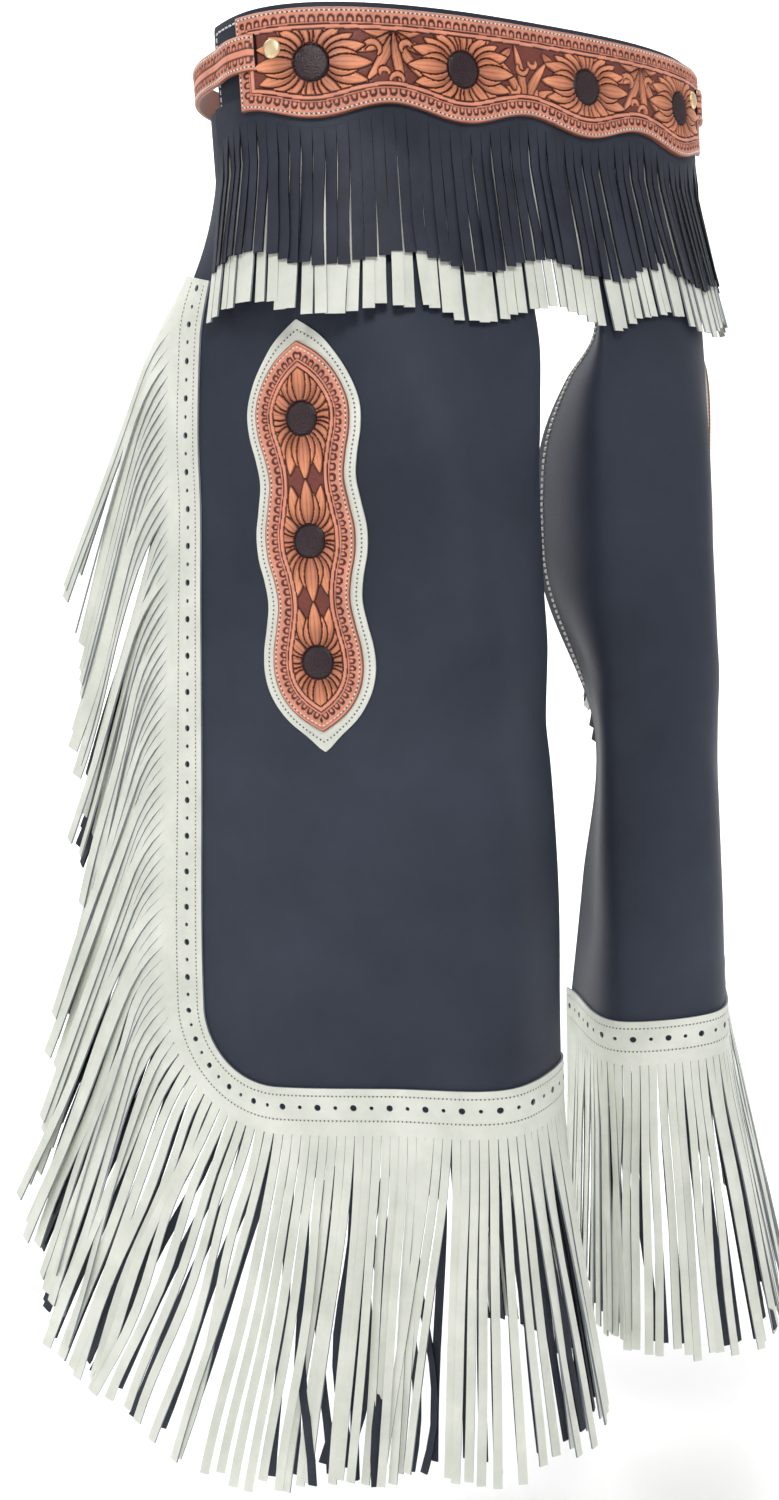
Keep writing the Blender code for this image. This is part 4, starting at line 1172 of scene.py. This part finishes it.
def make_leg_fringe(side, label, stitches):
    """Border strip with its holes and pale strands, and the black strands under them."""
    pale = Strands()
    v, inset, faces = border_strip()
    front = border_point(v, inset, BORDER_LIFT + BORDER_T)
    back = border_point(v, inset, BORDER_LIFT)
    points, faces, kinds = slab(front, back, faces)
    pale.put(points, faces, kinds)
    seed = 21 if side < 0 else 22
    area = leg_strands(pale, LEG_STRANDS, 0.0, BORDER_MARGIN, BORDER_LIFT, 1.0, 0.0, seed, 0.965, 1.25)
    area += PATH_LENGTH * (BORDER_WIDTH + BORDER_MARGIN)
    flat_faces = outward(pale.faces, side)
    made = add_mesh("border_and_fringe_" + label, mirrored(np.concatenate(pale.points), side), flat_faces,
                    [PALE_LOOK, PALE_WALL_SHADE_LOOK], pale.kinds)
    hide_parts("leg_fringe_" + label)
    black = Strands()
    area = leg_strands(black, UNDER_STRANDS, 0.06, 0.0030, -FRINGE_T, 1.0, 0.0080, seed + 10, 0.66, 1.6)
    made = add_mesh("under_fringe_" + label, mirrored(np.concatenate(black.points), side),
                    outward(black.faces, side), [FRINGE_BLACK_LOOK, BLACK_WALL_SHADE_LOOK], black.kinds)
    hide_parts("leg_underfringe_" + label)
    for inset in (STITCH_INNER, STITCH_OUTER):
        places = np.linspace(0.004, PATH_LENGTH - 0.003, 500)
        line = mirrored(border_point(places, inset, BORDER_LIFT + BORDER_T + 0.00004), side)
        tops = mirrored(border_point(places, inset, BORDER_LIFT + BORDER_T + 0.002), side)
        stitches.add(line, tops, pitch=0.0029, radius=0.00030, fill=0.84, hole=0.00064)


def patch_half(z, inset):
    """Half width of the patch at a height, its outline drawn in."""
    top = PATCH_HEIGHTS[0] - TIP_INSET * inset
    bottom = PATCH_HEIGHTS[-1] + TIP_INSET * inset
    half = spline(-PATCH_HEIGHTS, PATCH_WIDTHS[None, :, None], -z)[:, 0] - inset
    limit = 0.0004 + TIP_SLOPE * np.maximum(np.minimum(top - z, z - bottom), 0.0)
    return (np.maximum(half, 0.0004) ** -TIP_BLEND + limit ** -TIP_BLEND) ** (-1.0 / TIP_BLEND)


def patch_surface(x, z, off, side):
    """Places on the outer thigh: x across the patch from its middle line, z the height."""
    t = (ROW_TOP - z) / ROW_SPAN
    down = (PATCH_HEIGHTS[0] - z) / (PATCH_HEIGHTS[0] - PATCH_HEIGHTS[-1])
    s = PATCH_CENTRE_TOP + (PATCH_CENTRE_BOTTOM - PATCH_CENTRE_TOP) * down + PATCH_TURN[side]
    across, _ = leg_slopes(s, t)
    s = s + x / np.linalg.norm(across, axis=1)
    return mirrored(leg_point(s, t, off), side)


def patch_loop(inset, count=260):
    top = PATCH_HEIGHTS[0] - TIP_INSET * inset
    bottom = PATCH_HEIGHTS[-1] + TIP_INSET * inset
    z = bottom + (top - bottom) * (0.5 - 0.5 * np.cos(np.linspace(0.0, math.pi, count)))
    half = patch_half(z, inset)
    return np.concatenate((np.column_stack((half, z)), np.column_stack((-half, z))[::-1]))


PATCH_COLUMNS = 108
PATCH_ROWS = 400
PATCH_FIELD = 14.6
PATCH_FLOWERS = (0.193, 0.504, 0.8175)


def patch_carving():
    """Relief of the flower patch, shared by both legs."""
    fx, fy = grid_places(PATCH_COLUMNS, PATCH_ROWS)
    top = PATCH_HEIGHTS[0] - TIP_INSET * PATCH_INSET
    bottom = PATCH_HEIGHTS[-1] + TIP_INSET * PATCH_INSET
    z = bottom + (top - bottom) * fy
    x = (2.0 * fx - 1.0) * patch_half(z, PATCH_INSET)
    loop = patch_loop(PATCH_INSET) / MM
    depth, along, total = nearest_on(loop, x / MM, z / MM)
    carving = Carving(x / MM, z / MM, depth, along, PATCH_FIELD)
    for share in PATCH_FLOWERS:
        centre = (0.0, (top + (bottom - top) * share) / MM)
        carving.flower(centre, math.pi / 2, 38.0, 10.7)
    carving.arches(9.9, 4.7, 2.35, total / round(total / 5.8))
    carving.border(scale=1.05)
    return x, z, carving


def make_patches(carved, side, label, stitches, pale_stitches):
    columns, rows = 20, 110
    fx, fy = grid_places(columns, rows)
    top = PATCH_HEIGHTS[0]
    bottom = PATCH_HEIGHTS[-1]
    z = bottom + (top - bottom) * fy
    x = (2.0 * fx - 1.0) * patch_half(z, 0.0)
    lift = 0.0002
    front = patch_surface(x, z, lift + PATCH_BACK_T, side)
    back = patch_surface(x, z, lift, side)
    points, faces, kinds = slab(front, back, outward(grid_faces(columns, rows), side))
    made = add_mesh("patch_backing_" + label, points, faces, [PALE_LOOK])
    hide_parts("patch_back_" + label)
    line = closed(patch_loop(0.0042))
    face = lift + PATCH_BACK_T
    pale_stitches.add(patch_surface(line[:, 0], line[:, 1], face + 0.00004, side),
                      patch_surface(line[:, 0], line[:, 1], face + 0.002, side),
                      pitch=0.0029, radius=0.00030, fill=0.84, hole=0.00064)

    x, z, carving = carved
    base = face + 0.0001
    front = patch_surface(x, z, base + PATCH_T + carving.height * MM, side)
    back_rows = 10
    keep = PATCH_COLUMNS + 1
    coarse = np.linspace(0, PATCH_COLUMNS, back_rows + 1).astype(int)
    xs = x.reshape(PATCH_ROWS + 1, keep)
    zs = z.reshape(PATCH_ROWS + 1, keep)
    # The dense grid is turned, so that its long sides are rows that the coarse back shares
    front = front.reshape(PATCH_ROWS + 1, keep, 3).transpose(1, 0, 2).reshape(-1, 3)
    tint = carving.colour.reshape(PATCH_ROWS + 1, keep, 3).transpose(1, 0, 2).reshape(-1, 3)
    back = patch_surface(xs[:, coarse].T.ravel(), zs[:, coarse].T.ravel(), base, side)
    points, faces, kinds = straps_of_grid(front, PATCH_COLUMNS, PATCH_ROWS, back, back_rows)
    tint = np.concatenate((tint, np.broadcast_to(EDGE, (len(back), 3))))
    made = add_mesh("tooled_patch_" + label, points, outward(faces, -side),
                    [TOOLED_LOOK, EDGE_LOOK, EDGE_LOOK], kinds, tint)
    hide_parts("patch_flowers_" + label)
    line = closed(patch_loop(PATCH_INSET + 0.0024))
    stitches.add(patch_surface(line[:, 0], line[:, 1], base + PATCH_T - 0.0001, side),
                 patch_surface(line[:, 0], line[:, 1], base + PATCH_T + 0.002, side))


def strap_mesh(name, node_name, first, last, off_at, dip_at_first, stitches):
    """Tooled strap round the ring from u first to u last; its slot end dips into the belt."""
    rows = 30
    columns = int(abs(last - first) / 0.0008)
    fx, fy = grid_places(columns, rows)
    u = first + (last - first) * fx
    half = STRAP_WIDTH / 2
    y = (fy - 0.5) * STRAP_WIDTH
    depth = (half - np.abs(y)) / MM
    along = np.abs(u - first) / MM
    end = np.abs((last if dip_at_first else first) - u) / MM
    depth = np.minimum(depth, end)
    carving = Carving(u / MM, y / MM, depth, along, 50.0)
    carving.arches(8.2, 4.4, 2.0, 5.4)
    # Cut line along the strap, dark with painted shade
    cut = np.abs(depth - 8.6) < 0.40
    carving.height[cut] = -0.35
    carving.colour[cut] = CUT_AND_SHADE
    carving.edging(0.8)
    off = off_at(u)
    front = hip(u, STRAP_HEIGHT + y, off + STRAP_T + carving.height * MM * 0.8)
    u_back = first + (last - first) * np.linspace(0.0, 1.0, columns + 1)
    off_back = off_at(u_back)
    back = np.concatenate((hip(u_back, STRAP_HEIGHT - half, off_back),
                           hip(u_back, STRAP_HEIGHT + half, off_back)))
    points, faces, kinds = straps_of_grid(front, rows, columns, back, 1)
    if last < first:
        faces = outward(faces, -1.0)
    tint = np.concatenate((carving.colour, np.broadcast_to(EDGE, (len(back), 3))))
    made = add_mesh(name, points, faces, [TOOLED_LOOK, EDGE_LOOK, EDGE_LOOK], kinds, tint)
    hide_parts(node_name)
    us = np.linspace(first, last, 260)
    for edge in (-1.0, 1.0):
        zs = np.full(len(us), STRAP_HEIGHT + edge * (half - 2.2 * MM))
        offs = off_at(us) + STRAP_T
        stitches.add(hip(us, zs, offs - 0.0001), hip(us, zs, offs + 0.002))
    return made


def make_straps(stitches):
    slot = BELT_HALF_LENGTH - STRAP_SLOT_INSET
    belt_right = BELT_TURN - BELT_HALF_LENGTH
    belt_left = BELT_TURN + BELT_HALF_LENGTH
    right_start = BELT_TURN - slot
    left_start = BELT_TURN + slot
    dip = 0.0030

    def right_off(u):
        down = smooth((belt_right - BELT_END_CLEAR - u) / STRAP_DROP_LENGTH)
        into = smooth((u - right_start + 0.004) / 0.004)
        return STRAP_OFF + (STRAP_LOW_OFF + STRAP_T + GAP - STRAP_OFF) * down - dip * into

    def left_off(u):
        down = smooth((u - belt_left - BELT_END_CLEAR) / STRAP_DROP_LENGTH)
        into = smooth((left_start + 0.004 - u) / 0.004)
        return STRAP_OFF + (STRAP_LOW_OFF - STRAP_OFF) * down - dip * into

    strap_mesh("tooled_strap_right", "waist_strap_right", -HALF_GIRTH + BUCKLE_HALF_WIDTH + BUCKLE_WIRE + GAP,
               right_start, right_off, False, stitches)
    strap_mesh("tooled_strap_left", "waist_strap_left", left_start, HALF_GIRTH + STRAP_OVERLAP, left_off, True,
               stitches)
    for label, u, way in (("right", right_start, 1.0), ("left", left_start, -1.0)):
        make_slot("belt_slot_shade_" + label, u + way * 0.0006)
        make_stud("gold_stud_" + label, "stud_" + label, u + way * STUD_INSET)


def make_slot(name, u):
    """Dark cut in the belt where the strap goes in: a dark disc of painted shade in the slot."""
    angles = np.linspace(0.0, 2 * math.pi, 33)[:-1]
    half_wide = 0.0007
    half_high = STRAP_WIDTH / 2 + 0.0008
    us = u + half_wide * np.sign(np.cos(angles)) * np.abs(np.cos(angles)) ** 0.5
    zs = STRAP_HEIGHT + half_high * np.sign(np.sin(angles)) * np.abs(np.sin(angles)) ** 0.35
    top = hip(us, zs, BELT_OFF + BELT_T + 0.00035)
    low = hip(us, zs, BELT_OFF + BELT_T - 0.0015)
    count = len(angles)
    faces = [tuple(range(count)), tuple(range(2 * count - 1, count - 1, -1))]
    for k in range(count):
        n = (k + 1) % count
        faces.append((n, k, k + count, n + count))
    add_mesh(name, np.concatenate((top, low)), faces, [HOLE_SHADE_LOOK])


STUD_PROFILE = ((0.0, 0.0026), (0.0020, 0.0025), (0.0038, 0.0023), (0.0048, 0.0020), (0.0055, 0.0015),
                (0.0059, 0.0009), (0.0060, 0.0004), (0.0058, -0.0002))


def make_stud(name, node_name, u):
    base = hip(u, STRAP_HEIGHT, BELT_OFF + BELT_T)
    along = unit(hip(u + 0.004, STRAP_HEIGHT, BELT_OFF) - hip(u - 0.004, STRAP_HEIGHT, BELT_OFF))
    up = unit(np.cross(along, (0.0, 0.0, 1.0)))
    side = np.cross(up, along)
    sides = 40
    points = [base + up * STUD_PROFILE[0][1]]
    for radius, height in STUD_PROFILE[1:]:
        for k in range(sides):
            angle = 2 * math.pi * k / sides
            points.append(base + up * height + (along * math.cos(angle) + side * math.sin(angle)) * radius)
    faces = [(0, 1 + k, 1 + (k + 1) % sides) for k in range(sides)]
    for r in range(len(STUD_PROFILE) - 2):
        for k in range(sides):
            a = 1 + r * sides + k
            b = 1 + r * sides + (k + 1) % sides
            faces.append((a, a + sides, b + sides, b))
    last = 1 + (len(STUD_PROFILE) - 2) * sides
    faces.append(tuple(last + sides - 1 - k for k in range(sides)))
    made = add_mesh(name, np.array(points), faces, [GOLD_LOOK])
    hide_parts(node_name)


def tube(name, points, radius, looped, look, sides=12):
    """Round wire through points."""
    points = np.array(points, float)
    if looped:
        ahead = np.roll(points, -1, axis=0)
        behind = np.roll(points, 1, axis=0)
    else:
        ahead = np.concatenate((points[1:], 2 * points[-1:] - points[-2:-1]))
        behind = np.concatenate((2 * points[:1] - points[1:2], points[:-1]))
    way = unit(ahead - behind)
    out = np.array((0.0, 1.0, 0.0))
    first = unit(np.cross(way, out))
    second = np.cross(way, first)
    rings = []
    for k in range(sides):
        angle = 2 * math.pi * k / sides
        rings.append(points + (first * math.cos(angle) + second * math.sin(angle)) * radius)
    mesh_points = np.stack(rings, axis=1).reshape(-1, 3)
    faces = []
    count = len(points)
    for i in range(count if looped else count - 1):
        n = (i + 1) % count
        for k in range(sides):
            m = (k + 1) % sides
            faces.append((i * sides + k, n * sides + k, n * sides + m, i * sides + m))
    if not looped:
        faces.append(tuple(sides - 1 - k for k in range(sides)))
        faces.append(tuple((count - 1) * sides + k for k in range(sides)))
    return add_mesh(name, mesh_points, faces, [look])


def make_buckle():
    """Rounded wire frame and the prong, a bowed wire across it."""
    off = STRAP_LOW_OFF + STRAP_T + GAP + BUCKLE_WIRE
    centre = hip(HALF_GIRTH, STRAP_HEIGHT, off)
    corner = 0.0045
    outline = []
    for cx, cz, start in ((1, 1, 0.0), (-1, 1, 90.0), (-1, -1, 180.0), (1, -1, 270.0)):
        for k in range(9):
            angle = math.radians(start + 90.0 * k / 8)
            outline.append(centre + np.array((cx * (BUCKLE_HALF_WIDTH - corner) + corner * math.cos(angle), 0.0,
                                              cz * (BUCKLE_HALF_HEIGHT - corner) + corner * math.sin(angle))))
    made = tube("buckle_wire_frame", outline, BUCKLE_WIRE, True, BRASS_LOOK)
    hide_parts("buckle_frame")
    steps = np.linspace(-1.0, 1.0, 15)
    reach = BUCKLE_HALF_WIDTH + 0.0012
    line = [centre + np.array((x * reach, 0.0016 + 0.0016 * (1.0 - x * x), 0.0)) for x in steps]
    made = tube("buckle_tongue", line, 0.0014, False, BRASS_LOOK)
    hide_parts("buckle_prong")


def make_thigh_strap(side, label, stitches):
    t = np.array(((ROW_TOP - THIGH_Z) / ROW_SPAN,))
    start = leg_point(np.array((THIGH_START,)), t, -PANEL_T - LOFT_GAP)[0]
    end = leg_point(np.array((THIGH_END,)), t, -PANEL_T - LOFT_GAP)[0]

    def place(fx, fy, off):
        base = start + (end - start) * fx[:, None]
        base[:, 1] += THIGH_SAG * 4.0 * fx * (1.0 - fx)
        base[:, 2] = THIGH_Z + (fy - 0.5) * THIGH_WIDTH
        slope = (end - start)[None] + np.outer(THIGH_SAG * 4.0 * (1.0 - 2.0 * fx), (0.0, 1.0, 0.0))
        out = unit(np.cross(np.broadcast_to((0.0, 0.0, 1.0), base.shape), slope))
        return mirrored(base + out * off, side)

    columns, rows = 90, 8
    fx, fy = grid_places(columns, rows)
    round_off = 0.0004 * smooth((np.abs(fy - 0.5) - 0.42) / 0.08)[:, None]
    front = place(fx, fy, STRAP_T - round_off)
    back = place(fx, fy, round_off * 0.5)
    points, faces, kinds = slab(front, back, outward(grid_faces(columns, rows), -side))
    made = add_mesh("thigh_leather_" + label, points, faces, [BLACK_LOOK, FLESH_LOOK, BLACK_LOOK], kinds)
    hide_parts("thigh_strap_" + label)
    for height in (0.12, 0.88):
        f = np.linspace(0.01, 0.99, 200)
        stitches.add(place(f, np.full(200, height), STRAP_T + 0.0001), place(f, np.full(200, height), STRAP_T + 0.002),
                     pitch=0.0042, radius=0.0004)


bpy.context.scene.view_settings.view_transform = "Standard"


def make_stage():
    """Pale floor that curves up into a backdrop, and a dim white world light."""
    floor = -1.03
    profile = [(-3.0, floor), (1.2, floor)]
    for k in range(1, 13):
        angle = math.radians(90.0 * k / 12)
        profile.append((1.2 + 1.4 * math.sin(angle), floor + 1.4 * (1.0 - math.cos(angle))))
    profile.append((2.6, 4.5))
    across = np.array((math.cos(math.radians(36.3)), -math.sin(math.radians(36.3)), 0.0))
    ahead = np.array((math.sin(math.radians(36.3)), math.cos(math.radians(36.3)), 0.0))
    points = []
    for y, z in profile:
        for x in (-5.0, 5.0):
            points.append(across * x + ahead * y + np.array((0.0, 0.0, z)))
    mesh = bpy.data.meshes.new("studio_floor")
    faces = [(2 * k, 2 * k + 1, 2 * k + 3, 2 * k + 2) for k in range(len(profile) - 1)]
    mesh.from_pydata([tuple(p) for p in points], [], faces)
    mesh.polygons.foreach_set("use_smooth", np.ones(len(mesh.polygons), bool))
    made, _, shader = new_material("studio_paper")
    shader.inputs["Base Color"].default_value = (0.93, 0.93, 0.93, 1.0)
    shader.inputs["Roughness"].default_value = 0.9
    mesh.materials.append(made)
    stage = bpy.data.objects.new("studio_floor", mesh)
    bpy.context.scene.collection.objects.link(stage)
    world = bpy.data.worlds.new("studio_light")
    bpy.context.scene.world = world
    world.use_nodes = True
    world.node_tree.nodes["Background"].inputs["Color"].default_value = (1.0, 1.0, 1.0, 1.0)
    world.node_tree.nodes["Background"].inputs["Strength"].default_value = 0.25


CAMERA_PLACE = Vector((-0.6555, -0.8924, -0.3187))
CAMERA_LENS = 34.92


def add_light(name, place, target, size, power, colour=(1.0, 1.0, 1.0)):
    light = bpy.data.lights.new(name, "AREA")
    light.shape = "RECTANGLE"
    light.size = size[0]
    light.size_y = size[1]
    light.energy = power
    light.color = colour
    made = bpy.data.objects.new(name, light)
    made.location = place
    made.rotation_euler = (Vector(target) - Vector(place)).to_track_quat("-Z", "Y").to_euler()
    bpy.context.scene.collection.objects.link(made)


def make_camera_and_lights():
    turn = math.radians(36.3)
    pan = -0.075
    pitch = math.radians(7.25)
    roll = math.radians(-3.75)
    ahead = Vector((math.sin(turn), math.cos(turn), 0.0))
    right = Vector((math.cos(turn), -math.sin(turn), 0.0))
    ahead, right = (ahead * math.cos(pan) + right * math.sin(pan),
                    right * math.cos(pan) - ahead * math.sin(pan))
    level = Vector((0.0, 0.0, 1.0))
    forward = ahead * math.cos(pitch) - level * math.sin(pitch)
    above = level * math.cos(pitch) + ahead * math.sin(pitch)
    right, above = right * math.cos(roll) + above * math.sin(roll), above * math.cos(roll) - right * math.sin(roll)
    camera = bpy.data.cameras.new("camera")
    camera.lens = CAMERA_LENS
    camera.sensor_width = 36.0
    camera.sensor_fit = "AUTO"
    made = bpy.data.objects.new("camera", camera)
    matrix = Matrix((right, above, -forward)).transposed().to_4x4()
    matrix.translation = CAMERA_PLACE
    made.matrix_world = matrix
    bpy.context.scene.collection.objects.link(made)
    bpy.context.scene.camera = made
    add_light("key", (-1.3, -2.2, 1.5), (0.0, 0.0, -0.45), (0.9, 0.9), 43.0, (1.0, 0.99, 0.97))
    add_light("fill", (1.7, -1.8, 0.1), (0.0, 0.0, -0.5), (1.8, 2.2), 8.0, (0.94, 0.97, 1.0))
    add_light("side", (-2.3, -0.1, -0.1), (0.0, 0.0, -0.5), (1.2, 2.0), 9.0)
    add_light("top", (0.1, 0.2, 2.0), (0.0, 0.0, -0.3), (1.8, 1.8), 7.0)
    add_light("back", (0.6, 2.2, 0.8), (0.0, 0.0, -0.4), (1.8, 1.8), 6.0)
    add_light("backdrop", (0.9, 0.9, 2.4), (1.9, 2.4, -0.3), (2.2, 1.2), 95.0)
    add_light("floor", (-0.4, 1.2, 1.6), (0.9, 1.2, -1.03), (1.8, 1.2), 30.0)


white_on_tan = StitchWork()
white_on_pale = StitchWork()
white_on_black = StitchWork()
make_belt(white_on_tan)
make_liner(white_on_black)
belt_fringe("belt_strands_white", "belt_fringe_white", WHITE_OFF, WHITE_TIP, [PALE_LOOK, PALE_WALL_SHADE_LOOK], 5,
            0.8, 0.5, 0.935, 5.0)
belt_fringe("belt_strands_black", "belt_fringe_black", BLACK_OFF, BLACK_TIP, [FRINGE_BLACK_LOOK, BLACK_WALL_SHADE_LOOK], 3,
            0.5, 0.2, 0.985, 9.0)
patch_relief = patch_carving()
for side, label in ((-1.0, "right"), (1.0, "left")):
    make_panel(side, label, white_on_black)
    make_leg_fringe(side, label, white_on_pale)
    make_patches(patch_relief, side, label, white_on_tan, white_on_pale)
    make_thigh_strap(side, label, white_on_black)
make_straps(white_on_tan)
make_buckle()
white_on_tan.make("stitches_on_tan", THREAD_LOOK, HOLE_SHADE_LOOK)
white_on_pale.make("stitches_on_pale", THREAD_LOOK, PALE_HOLE_SHADE_LOOK)
white_on_black.make("stitches_on_black", THREAD_LOOK, HOLE_SHADE_LOOK)
make_stage()
make_camera_and_lights()
